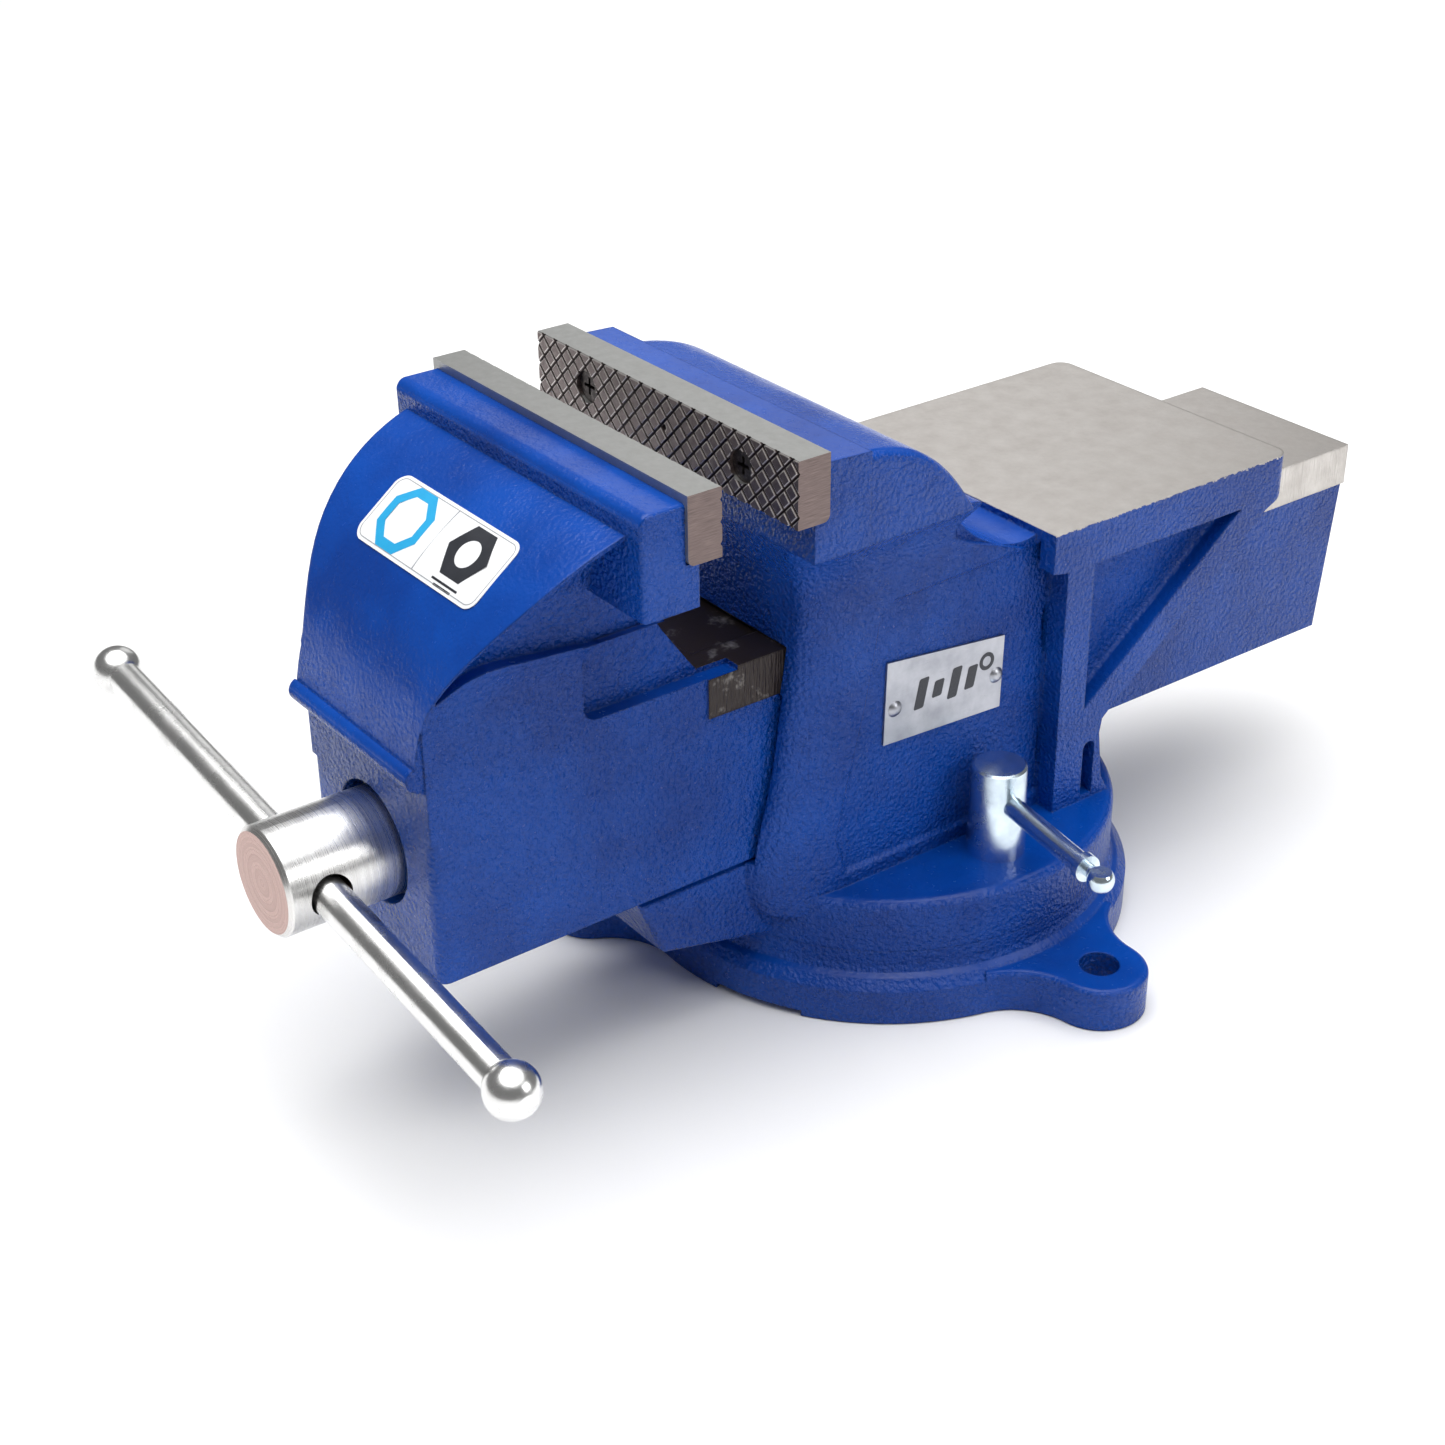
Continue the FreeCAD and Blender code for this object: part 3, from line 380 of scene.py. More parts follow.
def solid_from(name, sheets, slots=None):
    """Joins sheets, each (grid of points in mm, closed across), into one mesh.

    Points of neighbouring sheets that fall together become one point, and the
    faces are then turned outwards.  slots gives each sheet's material number.
    """
    points, faces, marks, count = [], [], [], 0
    for (sheet, closed), mark in zip(sheets, slots or [0] * len(sheets)):
        rows, columns = sheet.shape[:2]
        quads = grid_faces(rows, columns, count, closed)
        points.append(sheet.reshape(-1, 3))
        faces.append(quads)
        marks.append(np.full(len(quads), mark))
        count += rows * columns
    points, faces, marks = np.concatenate(points), np.concatenate(faces), np.concatenate(marks)
    _, first, same = np.unique(np.round(points, 3), axis=0, return_index=True,
                               return_inverse=True)
    distinct = [list(dict.fromkeys(face)) for face in same.reshape(-1)[faces].tolist()]
    kept = [k for k, face in enumerate(distinct) if len(face) > 2]
    mesh = bpy.data.meshes.new(name)
    mesh.from_pydata(points[first] / MM, [], [distinct[k] for k in kept])
    mesh.polygons.foreach_set("material_index", marks[kept].astype(np.int32))
    work = bmesh.new()
    work.from_mesh(mesh)
    bmesh.ops.recalc_face_normals(work, faces=work.faces)
    work.to_mesh(mesh)
    work.free()
    piece = bpy.data.objects.new(name, mesh)
    bpy.context.scene.collection.objects.link(piece)
    return piece


def groove_depth(x, z, low, high):
    """Depth of the grip face behind the plate's front plane.

    Each set of V grooves is a saw of x plus or minus z.  The top edge has a
    small bevel, and one cone is the mark of a centre punch.
    """
    def one_set(across):
        off = np.abs((across / GROOVE_SPACING + 0.5) % 1.0 - 0.5)
        off = off * GROOVE_SPACING / math.sqrt(2)
        return np.clip(1.0 - off / GROOVE_HALF, 0.0, 1.0) * GROOVE_DEPTH

    centre = (low + high) / 2
    grooves = np.maximum(one_set(x + z - centre), one_set(x - z + centre))
    bevel = np.clip(TOP_BEVEL - (high - z), 0.0, TOP_BEVEL)
    punch = np.hypot(x - PUNCH_X, z - centre) / PUNCH_R
    punch = np.clip(1.0 - punch, 0.0, 1.0) * PUNCH_DEPTH
    return GRIP_CLEAR + np.maximum(np.maximum(grooves, bevel), punch)


def screw_sheets(face_point, centre, middle, floor_y):
    """Two closed sheets round one screw: square window to bore, then the bore.

    The first runs from the square to the circle in even shares; the second
    drops straight from the circle to floor_y and closes at its middle.
    """
    side = np.linspace(-SCREW_WINDOW, SCREW_WINDOW, WINDOW_CELLS + 1)[:-1]
    flat = np.full(WINDOW_CELLS, SCREW_WINDOW)
    square = np.concatenate([np.stack([side, -flat], -1), np.stack([flat, side], -1),
                             np.stack([-side, flat], -1), np.stack([-flat, -side], -1)])
    circle = square / np.linalg.norm(square, axis=1, keepdims=True) * SCREW_BORE
    share = np.linspace(0, 1, RING_STEPS)[:, None, None]
    ring = square * (1 - share) + circle * share
    lip = face_point(circle[:, 0] + centre, circle[:, 1] + middle)
    floor = np.stack([circle[:, 0] + centre, np.full(len(circle), floor_y),
                      circle[:, 1] + middle], -1)
    floor_middle = np.broadcast_to(floor.mean(axis=0), floor.shape)
    return [(face_point(ring[..., 0] + centre, ring[..., 1] + middle), True),
            (np.stack([lip, floor, floor_middle]), True)]


def grip_plate(name, node, inward):
    """Plate with its grip face at the CAD node's face that looks inward.

    The face is a height field over x and z; a square window round each screw
    is a ring that runs from the square to the bore, and the rim is carried
    straight back to close the plate, rounded along its lower back edge.
    """
    low, high = mm(node)
    grip = low[1] if inward < 0 else high[1]
    back = high[1] if inward < 0 else low[1]
    middle = (low[2] + high[2]) / 2
    inner, outer = SCREW_SPAN - SCREW_WINDOW, SCREW_SPAN + SCREW_WINDOW
    spans = [(low[0], -outer, END_CELLS), (-outer, -inner, WINDOW_CELLS),
             (-inner, inner, MIDDLE_CELLS), (inner, outer, WINDOW_CELLS),
             (outer, high[0], END_CELLS)]
    levels = [(low[2], middle - SCREW_WINDOW, EDGE_CELLS),
              (middle - SCREW_WINDOW, middle + SCREW_WINDOW, WINDOW_CELLS),
              (middle + SCREW_WINDOW, high[2], EDGE_CELLS)]

    def face_point(x, z):
        y = grip - inward * groove_depth(x, z, low[2], high[2])
        return np.stack([x, y, z], axis=-1)

    sheets = []
    for i, (x0, x1, nx) in enumerate(spans):
        for j, (z0, z1, nz) in enumerate(levels):
            if i in (1, 3) and j == 1:      # a screw's window
                continue
            x, z = np.meshgrid(np.linspace(x0, x1, nx + 1), np.linspace(z0, z1, nz + 1))
            sheets.append((face_point(x, z), False))
    for centre in (-SCREW_SPAN, SCREW_SPAN):
        sheets += screw_sheets(face_point, centre, middle, grip - inward * BORE_DEPTH)

    xs = np.concatenate([np.linspace(a, b, n + 1)[:-1] for a, b, n in spans])
    zs = np.concatenate([np.linspace(a, b, n + 1)[:-1] for a, b, n in levels])
    rim = np.concatenate([
        np.stack([xs, np.full_like(xs, low[2])], -1),
        np.stack([np.full_like(zs, high[0]), zs], -1),
        np.stack([low[0] + high[0] - xs, np.full_like(xs, high[2])], -1),
        np.stack([np.full_like(zs, low[0]), low[2] + high[2] - zs], -1)])
    front = face_point(rim[:, 0], rim[:, 1])
    rings = [front]
    for turn in np.linspace(0, math.pi / 2, RING_STEPS):
        ring = front.copy()
        ring[:, 1] = back + inward * LOWER_ROUND * (1 - np.sin(turn))
        ring[:, 2] = np.maximum(ring[:, 2], low[2] + LOWER_ROUND * (1 - np.cos(turn)))
        rings.append(ring)
    rings.append(np.broadcast_to(rings[-1].mean(axis=0), front.shape))
    sheets.append((np.stack(rings), True))
    return solid_from(name, sheets)


def plate_steel(name, grip, inward):
    """Satin grey top, pinkish milled ends, brown grooved grip face with painted shade deep in
    its grooves.
    """
    f = Finish(name)
    top = f.above(f.nz, 0.7, 0.2)
    end = f.above(f.math("ABSOLUTE", f.nx), 0.7, 0.2)
    depth = f.math("MULTIPLY", f.math("SUBTRACT", grip, f.y), inward)
    gripping = f.every(f.above(2.0, depth, 0.1), f.math("SUBTRACT", 1.0, f.any(top, end)))
    crest = f.every(gripping, f.between(depth, GRIP_CLEAR + 0.03, GRIP_CLEAR + 0.20, 0.06))
    # Painted shade: the grooves turn near black below GROOVE_SHADE's depth.
    groove_shade = f.above(depth, GRIP_CLEAR + GROOVE_SHADE, 0.3)
    mottle = f.steps(f.noise(0.25, 4.0, 0.65), 0.3, 0.75)
    lines = f.noise(3.0, 2.0, 0.6, (1.0, 0.05, 1.0))
    stain = f.steps(f.noise(0.5, 4.0, 0.7), 0.3, 0.7)
    milled = f.tint(f.steps(lines, 0.3, 0.7), MILLED_END, MILLED_END_DARK)
    brown = f.tint(groove_shade, f.tint(stain, GRIP_BROWN, GRIP_BROWN_PALE), GROOVE_PAINTED_SHADE)
    colour = f.tint(end, f.tint(mottle, GROUND_STEEL, GROUND_STEEL_DULL), milled)
    colour = f.tint(crest, f.tint(gripping, colour, brown), CREST_BRIGHT)
    grain = f.math("MULTIPLY", f.noise(1.6, 3.0, 0.6, (0.08, 1.0, 1.0)), 0.03)
    height = f.blend(end, grain, f.math("MULTIPLY", lines, 0.10))
    height = f.blend(gripping, height, f.math("MULTIPLY", f.noise(1.0, 4.0, 0.7), 0.12))
    f.set(
        Base_Color=colour,
        Metallic=0.9,
        Roughness=f.blend(gripping, f.blend(mottle, 0.38, 0.46), 0.42),
        Normal=f.relief(height),
    )
    return f.material


for node, body, inward in (("fixed_jaw_plate", "fixed_jaw", -1),
                           ("moving_jaw_plate", "moving_jaw", 1)):
    low, high = mm(node)
    grip = low[1] if inward < 0 else high[1]
    plate = grip_plate("grooved_" + node, node, inward)
    plate.data.materials.append(plate_steel(node + "_steel", grip, inward))
    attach(plate, body)
    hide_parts(node)

# ---- plate screws, bolts and split pin -------------------------------------
# Blackened steel fasteners: cross-recessed screws in the jaw plates, T-bolts
# in the base ring, the lead nut's socket bolt and the spindle's split pin.

OXIDE = (0.050, 0.043, 0.042, 1.0)
OXIDE_RUBBED = (0.17, 0.15, 0.14, 1.0)


def black_oxide(name):
    """Blackened steel, a little brown, with rubbed high spots."""
    f = Finish(name)
    rub = f.steps(f.noise(0.9, 4.0, 0.7), 0.50, 0.75)
    f.set(
        Base_Color=f.tint(rub, OXIDE, OXIDE_RUBBED),
        Metallic=0.85,
        Roughness=f.blend(rub, 0.46, 0.34),
        Normal=f.relief(f.math("MULTIPLY", f.noise(2.0, 3.0), 0.05)),
    )
    return f


for node in ("fixed_jaw_screws", "moving_jaw_screws", "lead_nut_bolt", "lock_bolts",
             "split_pin"):
    paint(node, black_oxide(node + "_oxide"))

# ---- spindle, washers and spring -------------------------------------------
# Turned steel.  The lathe leaves fine rings round the head and circles on its
# front face, which has a faint warm cast.

TURNED = (0.82, 0.82, 0.81, 1.0)
TURNED_DULL = (0.66, 0.65, 0.64, 1.0)
WARM_FACE = (0.46, 0.30, 0.265, 1.0)
WARM_FACE_DARK = (0.36, 0.24, 0.215, 1.0)
SPINDLE_OIL = (0.11, 0.085, 0.06, 1.0)
OIL_START = -212.0          # oil lies on the spindle behind its head


def turned_steel(name, warm_face=0.0):
    """Lathe-turned steel: rings are noise of the radius and of Y only."""
    f = Finish(name)
    radius = f.radius_about(0.0, SPINDLE_Z)
    rings = f.node("ShaderNodeCombineXYZ", {0: radius, 1: f.y}).outputs[0]
    lathe = f.noise(2.6, 3.0, 0.65, at=rings)
    tool_marks = f.steps(lathe, 0.3, 0.7)
    band = f.steps(f.noise(0.35, 2.0, 0.5, at=rings), 0.3, 0.7)
    face = f.steps(f.math("MULTIPLY", f.ny, -1.0), 0.7, 0.9)
    oil = f.every(f.steps(f.noise(0.12, 4.0, 0.7), 0.55, 0.72), f.above(f.y, OIL_START, 8.0))
    bright = f.tint(band, TURNED, TURNED_DULL)
    warm = f.tint(tool_marks, WARM_FACE, WARM_FACE_DARK)
    colour = f.tint(f.math("MULTIPLY", face, warm_face), bright, warm)
    f.set(
        Base_Color=f.tint(oil, colour, SPINDLE_OIL),
        Metallic=1.0,
        Roughness=f.blend(tool_marks, 0.22, 0.36),
        Normal=f.relief(f.math("MULTIPLY", lathe, 0.045)),
    )
    return f


paint("spindle", turned_steel("spindle_steel", 1.0))
for node in ("thrust_washer", "retaining_washer", "spindle_spring"):
    paint(node, turned_steel(node + "_steel"))

# ---- handle ----------------------------------------------------------------
# Drawn steel bar through the spindle head, with a turned ball on each end.

BAR_TILT = math.radians(6.07)
DRAWN = (0.86, 0.86, 0.85, 1.0)
DRAWN_WORN = (0.68, 0.675, 0.67, 1.0)


def drawn_steel(name):
    """Bright drawn bar: faint streaks along it and rings round it.

    The rings are noise of the distance along the tilted bar.
    """
    f = Finish(name)
    rise = f.math("MULTIPLY", f.z, math.sin(BAR_TILT))
    along = f.math("SUBTRACT", f.math("MULTIPLY", f.x, math.cos(BAR_TILT)), rise)
    rings = f.node("ShaderNodeCombineXYZ", {0: along}).outputs[0]
    polish = f.math("MULTIPLY", f.noise(2.0, 3.0, 0.6, at=rings), 0.03)
    streak = f.math("MULTIPLY", f.noise(0.9, 3.0, 0.6, (0.03, 1.0, 1.0)), 0.03)
    wear = f.steps(f.noise(0.06, 4.0, 0.65), 0.35, 0.70)
    f.set(
        Base_Color=f.tint(wear, DRAWN, DRAWN_WORN),
        Metallic=1.0,
        Roughness=f.blend(wear, 0.20, 0.33),
        Normal=f.relief(f.math("ADD", polish, streak)),
    )
    return f


for node in ("handle_bar", "handle_ball_left", "handle_ball_right"):
    paint(node, drawn_steel(node + "_steel"))

# ---- swivel locks ----------------------------------------------------------
# Round nuts on the T-bolts, each turned by a cross bar with a small end knob,
# all bright zinc plated with a bluish passivation.

ZINC = (0.76, 0.87, 0.95, 1.0)
ZINC_DULL = (0.52, 0.61, 0.69, 1.0)
ZINC_STRAW = (0.62, 0.58, 0.47, 1.0)


def blue_zinc(name):
    """Zinc plate: cloudy bluish and faint straw patches over bright metal."""
    f = Finish(name)
    cloud = f.steps(f.noise(0.11, 3.0, 0.6), 0.30, 0.70)
    straw = f.steps(f.noise(0.07, 2.0, 0.5, (1.0, 1.0, 0.4)), 0.58, 0.75)
    colour = f.tint(cloud, ZINC, ZINC_DULL)
    f.set(
        Base_Color=f.tint(f.math("MULTIPLY", straw, 0.5), colour, ZINC_STRAW),
        Metallic=1.0,
        Roughness=f.blend(cloud, 0.16, 0.30),
        Normal=f.relief(f.math("MULTIPLY", f.noise(1.6, 3.0, 0.6), 0.03)),
    )
    return f


for side in ("right", "left"):
    for part in ("nut", "bar", "knob"):
        node = "lock_%s_%s" % (part, side)
        paint(node, blue_zinc(node + "_zinc"))

# ---- lead nut --------------------------------------------------------------
# Block of bare grey iron that the spindle screws through, dark with oil.

NUT_IRON = (0.23, 0.22, 0.21, 1.0)
NUT_SOOT = (0.075, 0.065, 0.058, 1.0)

f = Finish("lead_nut_iron")
soot = f.steps(f.noise(0.14, 5.0, 0.65), 0.30, 0.70)
f.set(
    Base_Color=f.tint(soot, NUT_IRON, NUT_SOOT),
    Metallic=0.75,
    Roughness=f.blend(soot, 0.50, 0.62),
    Normal=f.relief(f.math("MULTIPLY", f.noise(0.8, 4.0, 0.65), 0.20)),
)
paint("lead_nut", f)

# ---- name plate ------------------------------------------------------------
# Brushed aluminium plate held to the column by two drive rivets, with a plain
# printed pattern of slanted bars and a ring.

ALUMINIUM = (0.46, 0.47, 0.51, 1.0)
ALUMINIUM_STAINED = (0.31, 0.32, 0.36, 1.0)
INK = (0.012, 0.014, 0.022, 1.0)
INK_WORN = (0.035, 0.038, 0.050, 1.0)
PLATE_FACE = mm("name_plate")[1][0]
PLATE_INK = 0.05            # thickness of the printed pattern
INK_GAP = 0.02              # keeps the print off the plate's own plane
BAR_WIDTH, BAR_HEIGHT, BAR_CORNER = 4.6, 12.0, 0.8
SLANT = 0.22
BARS = ((-27.5, 1.0), (-19.5, 0.55), (-11.5, 1.0), (-3.5, 0.75))    # Y and share of height
PRINT_Y, PRINT_Z = -15.0, 117.0
PRINT_FALL = 0.045          # the row of bars drops by this for each mm of Y
RING_PLACE = (4.0, 120.5)
RING_OUTER, RING_INNER = 3.6, 2.0
ROUND = 48                  # sides that stand for a circle


def brushed_aluminium(name):
    """Long fine scratches along Y over pale metal."""
    f = Finish(name)
    scratch = f.noise(3.2, 4.0, 0.7, (1.0, 0.03, 1.0))
    stain = f.steps(f.noise(0.09, 3.0, 0.6), 0.35, 0.75)
    f.set(
        Base_Color=f.tint(stain, ALUMINIUM, ALUMINIUM_STAINED),
        Metallic=1.0,
        Roughness=f.blend(f.steps(scratch, 0.3, 0.7), 0.26, 0.42),
        Normal=f.relief(f.math("MULTIPLY", scratch, 0.05)),
    )
    return f


paint("name_plate", brushed_aluminium("name_plate_aluminium"))
paint("name_plate_rivets", brushed_aluminium("rivet_aluminium"))


def band_between(outer, inner, drape, thickness):
    """Flat band between two closed outlines, given thickness and closed.

    outer and inner are (n, 2) points in the flat; drape puts flat points and
    a height above the surface into space.
    """
    rings = [drape(outer, 0.0), drape(outer, thickness)]
    rings += [drape(outer + (inner - outer) * s, thickness) for s in (0.33, 0.67, 1.0)]
    rings += [drape(inner, 0.0), drape(outer, 0.0)]
    return np.stack(rings), True


def filled(outline, drape, thickness):
    """Closed outline filled towards its middle."""
    middle = np.broadcast_to(outline.mean(axis=0), outline.shape)
    return band_between(outline, middle, drape, thickness)


def polygon_outline(sides, reach, turn, count=96):
    """Closed outline of a regular polygon whose corners lie at reach.

    The radius is the apothem over the cosine of the angle off the nearest
    side's middle.
    """
    angle = np.linspace(0, 2 * math.pi, count, endpoint=False)
    step = 2 * math.pi / sides
    off = (angle - turn) % step - step / 2
    radius = reach * math.cos(step / 2) / np.cos(off)
    return np.stack([radius * np.cos(angle), radius * np.sin(angle)], -1)


def rounded_box(width, height, corner, count=120):
    """Closed outline of a rounded rectangle, its corners evenly stepped.

    Each point is a corner's centre plus the corner radius along the angle.
    """
    angle = np.linspace(0, 2 * math.pi, count, endpoint=False) + math.pi / count
    way = np.stack([np.cos(angle), np.sin(angle)], -1)
    centre = np.sign(way) * (np.array([width, height]) / 2 - corner)
    return centre + way * corner


def on_plate(flat, height):
    """Flat points as (Y, Z) on the name plate's outer face."""
    x = np.full(len(flat), PLATE_FACE + INK_GAP + height)
    return np.stack([x, flat[:, 0], flat[:, 1]], -1)


ink = Finish("printed_ink")
speck = ink.steps(ink.noise(1.4, 4.0, 0.7), 0.35, 0.75)
ink.set(
    Base_Color=ink.tint(speck, INK, INK_WORN),
    Roughness=ink.blend(speck, 0.38, 0.55),
    Normal=ink.relief(ink.math("MULTIPLY", speck, 0.02)),
)
pattern = []
for place, share in BARS:
    outline = rounded_box(BAR_WIDTH, BAR_HEIGHT * share, BAR_CORNER)
    outline[:, 0] += outline[:, 1] * SLANT
    outline += (place, PRINT_Z - PRINT_FALL * (place - PRINT_Y))
    pattern.append(filled(outline, on_plate, PLATE_INK))
pattern.append(band_between(polygon_outline(ROUND, RING_OUTER, 0) + RING_PLACE,
                            polygon_outline(ROUND, RING_INNER, 0) + RING_PLACE,
                            on_plate, PLATE_INK))
plate_print = solid_from("name_plate_print", pattern)
plate_print.data.materials.append(ink.material)
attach(plate_print, "fixed_jaw")

# ---- shield label ----------------------------------------------------------
# White vinyl sticker with rounded corners, bent round the shield.  Its print
# is generic: an eight-sided ring, a divider and a nut with two short lines.

LABEL_CORNER = 5.0
LABEL_SINK = 0.12           # how far the vinyl starts below the CAD label's middle
VINYL_THICKNESS = 0.22
PRINT_RISE = 0.24           # the print's underside above the vinyl's underside
INK_THICKNESS = 0.03
BORDER_IN, BORDER_WIDTH = 1.2, 0.3
DIVIDER_WIDTH, DIVIDER_CORNER = 0.5, 0.2
OCTAGON_TURN = math.pi / 8
OCTAGON_OUTER, OCTAGON_INNER = 13.2, 9.2
NUT_OUTER, NUT_HOLE, NUT_LIFT = 11.2, 5.2, 1.6
LINES = ((-10.6, 15.0), (-12.2, 10.0))      # height on the label, and width
LINE_HEIGHT, LINE_CORNER = 0.8, 0.3
STICKER_WHITE = (0.83, 0.84, 0.85, 1.0)
STICKER_WHITE_DULL = (0.76, 0.77, 0.79, 1.0)
STICKER_GREY = (0.32, 0.33, 0.35, 1.0)
STICKER_GREY_DULL = (0.27, 0.28, 0.30, 1.0)
STICKER_CYAN = (0.02, 0.36, 0.66, 1.0)
STICKER_CYAN_DULL = (0.015, 0.31, 0.60, 1.0)
STICKER_DARK = (0.018, 0.020, 0.026, 1.0)
STICKER_DARK_WORN = (0.028, 0.030, 0.038, 1.0)
WHITE_SLOT, GREY_SLOT, CYAN_SLOT, DARK_SLOT = 0, 1, 2, 3

low, high = mm("shield_label")
LABEL_WIDTH = high[0] - low[0]
label_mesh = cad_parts["shield_label"].data
corners = np.empty(len(label_mesh.vertices) * 3)
label_mesh.vertices.foreach_get("co", corners)
corners = corners.reshape(-1, 3) * MM
bend = np.polyfit(corners[:, 1], corners[:, 2], 3)
track_y = np.linspace(high[1], low[1], 200)
track_z = np.polyval(bend, track_y)
travel = np.concatenate([[0.0], np.cumsum(np.hypot(np.diff(track_y), np.diff(track_z)))])
LABEL_HEIGHT = travel[-1]


def on_shield(flat, height):
    """Flat points (across, up) laid round the shield at a height above it.

    Up is measured as arc length from the label's middle, and the height is
    added along the curve's normal.
    """
    down = LABEL_HEIGHT / 2 - flat[:, 1]
    y = np.interp(down, travel, track_y)
    z = np.interp(down, travel, track_z)
    slope = np.polyval(np.polyder(bend), y)
    length = np.sqrt(1 + slope ** 2)
    lift = height - LABEL_SINK
    x = flat[:, 0] + (low[0] + high[0]) / 2
    return np.stack([x, y - lift * slope / length, z + lift / length], -1)


def raised(flat, height):
    """Print on the label's face."""
    return on_shield(flat, height + PRINT_RISE)


def vinyl(name, colour, dusk):
    """Semi-gloss printed vinyl, faintly rippled."""
    f = Finish(name)
    f.set(
        Base_Color=f.tint(f.steps(f.noise(0.12, 3.0, 0.6), 0.3, 0.8), colour, dusk),
        Roughness=f.blend(f.noise(0.5, 2.0), 0.28, 0.40),
        Normal=f.relief(f.math("MULTIPLY", f.noise(0.25, 2.0), 0.10)),
    )
    return f.material


def inset_box(inset):
    """The label's outline moved in by inset, its corner by the same."""
    return rounded_box(LABEL_WIDTH - 2 * inset, LABEL_HEIGHT - 2 * inset,
                       LABEL_CORNER - inset)


ring_at = np.array([-LABEL_WIDTH / 4, 0.0])
nut_at = np.array([LABEL_WIDTH / 4, NUT_LIFT])
print_in = BORDER_IN + BORDER_WIDTH
divider = rounded_box(DIVIDER_WIDTH, LABEL_HEIGHT - 2 * print_in, DIVIDER_CORNER)
layers = [
    (WHITE_SLOT, filled(inset_box(0.0), on_shield, VINYL_THICKNESS)),
    (GREY_SLOT, band_between(inset_box(BORDER_IN), inset_box(print_in), raised, INK_THICKNESS)),
    (GREY_SLOT, filled(divider, raised, INK_THICKNESS)),
    (CYAN_SLOT, band_between(polygon_outline(8, OCTAGON_OUTER, OCTAGON_TURN) + ring_at,
                             polygon_outline(8, OCTAGON_INNER, OCTAGON_TURN) + ring_at,
                             raised, INK_THICKNESS)),
    (DARK_SLOT, band_between(polygon_outline(6, NUT_OUTER, 0) + nut_at,
                             polygon_outline(ROUND, NUT_HOLE, 0) + nut_at,
                             raised, INK_THICKNESS)),
]
for drop, width in LINES:
    line = rounded_box(width, LINE_HEIGHT, LINE_CORNER) + (nut_at[0], drop)
    layers.append((DARK_SLOT, filled(line, raised, INK_THICKNESS)))
label = solid_from("sticker", [sheet for _, sheet in layers], [slot for slot, _ in layers])
for name, colour, dusk in (("sticker_white", STICKER_WHITE, STICKER_WHITE_DULL),
                           ("sticker_grey", STICKER_GREY, STICKER_GREY_DULL),
                           ("sticker_cyan", STICKER_CYAN, STICKER_CYAN_DULL),
                           ("sticker_dark", STICKER_DARK, STICKER_DARK_WORN)):
    label.data.materials.append(vinyl(name, colour, dusk))
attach(label, "moving_jaw")
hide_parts("shield_label")

# ---- floor, light and camera -----------------------------------------------
# White floor under the vise, a white surround that lights it only dimly, three
# soft lamps and a wide, nearly even light from straight above.

FLOOR_SIZE = 6.0
FLOOR_DROP = 0.0005
FLOOR_WHITE = (0.86, 0.86, 0.86, 1.0)
FLOOR_WHITE_PALE = (0.88, 0.88, 0.88, 1.0)
SURROUND_LIGHT = 0.18       # strength as a light on the vise
SURROUND_SEEN = 1.0         # strength as the white behind it

bpy.ops.mesh.primitive_plane_add(size=FLOOR_SIZE, location=(0, 0, -FLOOR_DROP))
floor = bpy.context.object
floor.name = "studio_floor"
f = Finish("studio_floor_white")
f.set(
    Base_Color=f.tint(f.noise(0.004, 2.0), FLOOR_WHITE, FLOOR_WHITE_PALE),
    Roughness=0.9,
)
floor.data.materials.append(f.material)

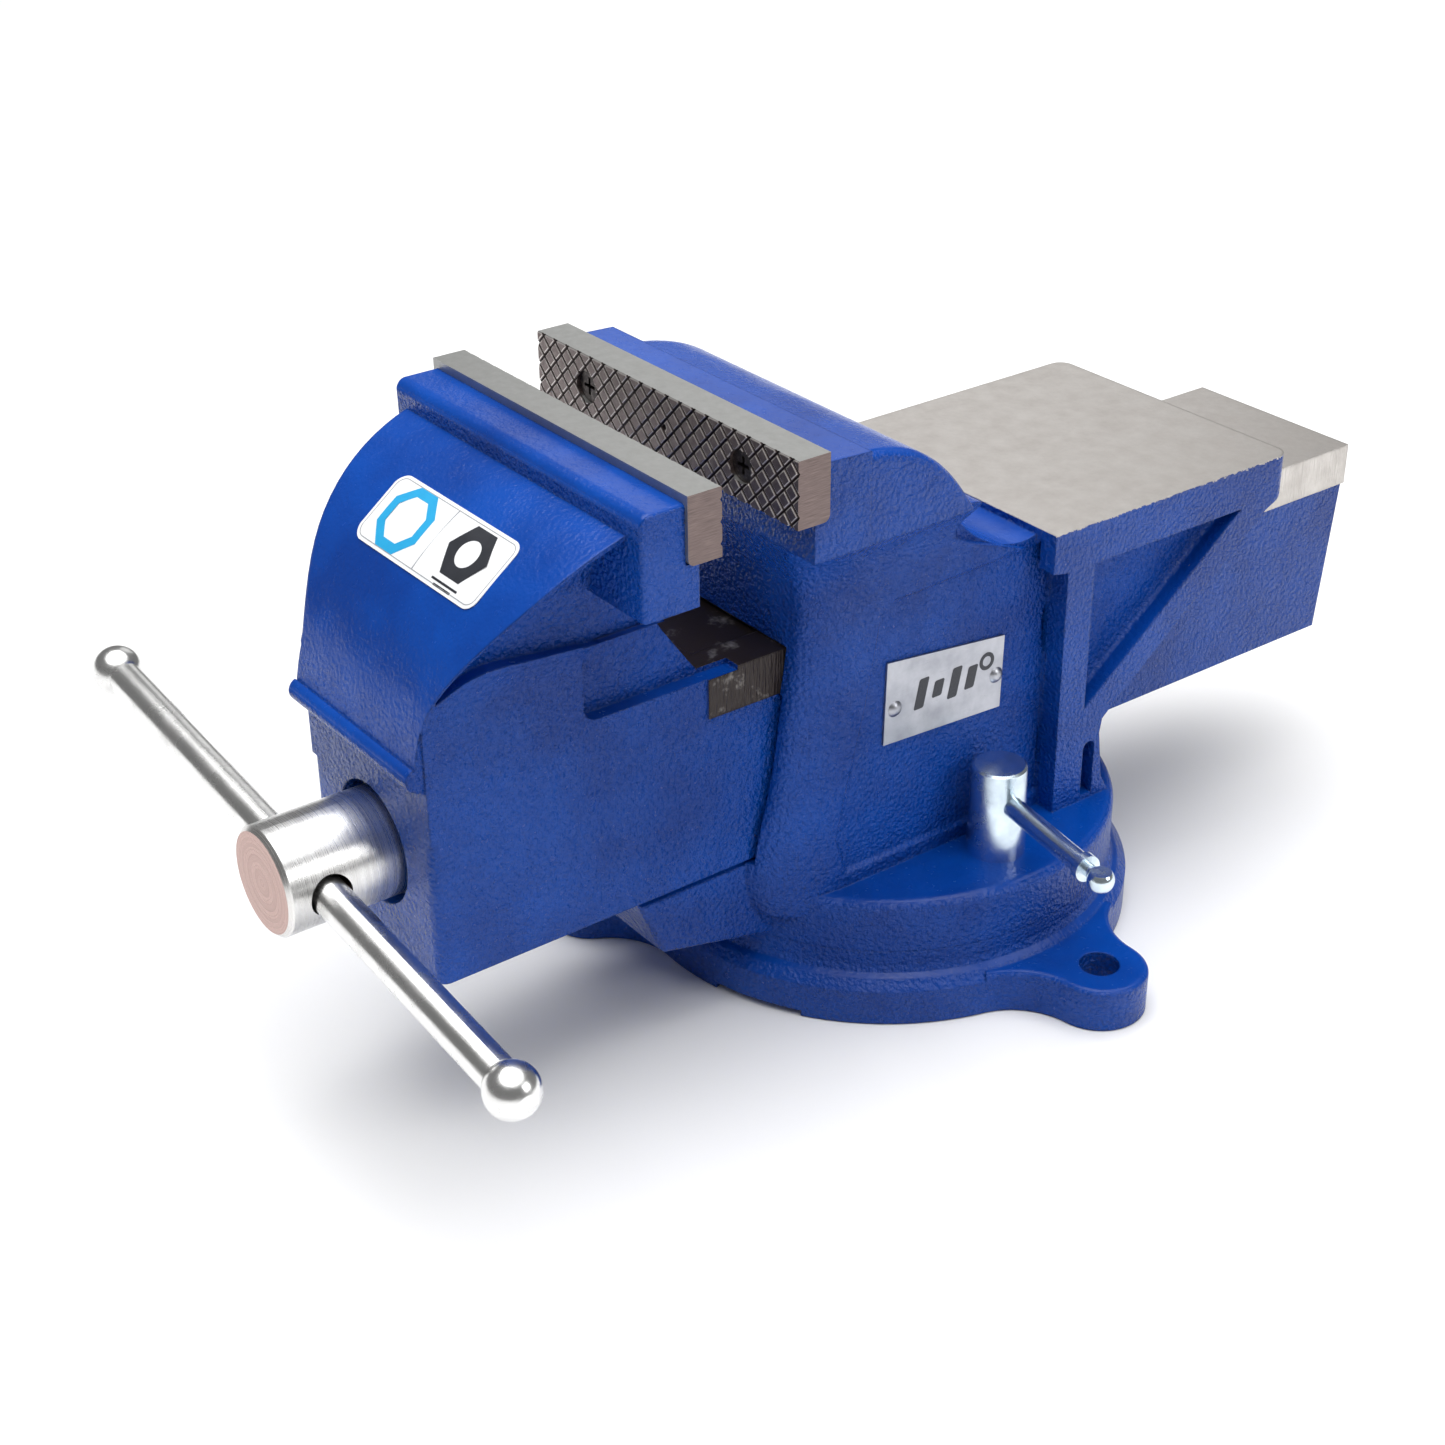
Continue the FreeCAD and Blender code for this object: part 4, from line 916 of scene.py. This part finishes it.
world = bpy.data.worlds.new("studio")
world.use_nodes = True
surround = world.node_tree.nodes["Background"]
surround.inputs["Color"].default_value = (1.0, 1.0, 1.0, 1.0)
ray = world.node_tree.nodes.new("ShaderNodeLightPath")
fade = world.node_tree.nodes.new("ShaderNodeMapRange")
fade.inputs["To Min"].default_value = SURROUND_LIGHT
fade.inputs["To Max"].default_value = SURROUND_SEEN
world.node_tree.links.new(ray.outputs["Is Camera Ray"], fade.inputs["Value"])
world.node_tree.links.new(fade.outputs["Result"], surround.inputs["Strength"])
bpy.context.scene.world = world


def soft_lamp(name, place, target, size, watts):
    """Square lamp at place, turned to the target."""
    lamp = bpy.data.lights.new(name, "AREA")
    lamp.size = size
    lamp.energy = watts
    holder = bpy.data.objects.new(name, lamp)
    holder.location = place
    holder.rotation_mode = "QUATERNION"
    holder.rotation_quaternion = (Vector(target) - Vector(place)).to_track_quat("-Z", "Y")
    bpy.context.scene.collection.objects.link(holder)


soft_lamp("overhead", place=(-0.2, -0.2, 1.5), target=(0.0, 0.0, 0.1), size=1.2, watts=14.0)
soft_lamp("right_side", place=(1.3, 0.6, 0.8), target=(0.0, 0.0, 0.1), size=0.6, watts=6.0)
soft_lamp("behind", place=(-1.3, 1.1, 1.0), target=(0.0, 0.0, 0.15), size=0.9, watts=1.8)

ceiling = bpy.data.lights.new("ceiling", "SUN")
ceiling.energy = 2.6
ceiling.angle = math.radians(80)
ceiling_holder = bpy.data.objects.new("ceiling", ceiling)
bpy.context.scene.collection.objects.link(ceiling_holder)

EYE = Vector((0.616455, -0.535919, 0.532102))
AZIMUTH = math.radians(53.320)
ELEVATION = math.radians(29.429)
ROLL = math.radians(-0.510)
backward = Vector((math.sin(AZIMUTH) * math.cos(ELEVATION),
                   -math.cos(AZIMUTH) * math.cos(ELEVATION), math.sin(ELEVATION)))
level = Vector((0, 0, 1)).cross(backward).normalized()
upright = backward.cross(level)
right = level * math.cos(ROLL) + upright * math.sin(ROLL)
up = upright * math.cos(ROLL) - level * math.sin(ROLL)
lens = bpy.data.cameras.new("camera")
lens.lens = 59.57
lens.sensor_width = 36.0
lens.clip_start = 0.01
camera = bpy.data.objects.new("camera", lens)
camera.matrix_world = Matrix((
    (right.x, up.x, backward.x, EYE.x),
    (right.y, up.y, backward.y, EYE.y),
    (right.z, up.z, backward.z, EYE.z),
    (0, 0, 0, 1),
))
bpy.context.scene.collection.objects.link(camera)
bpy.context.scene.camera = camera
bpy.context.scene.view_settings.view_transform = "Standard"
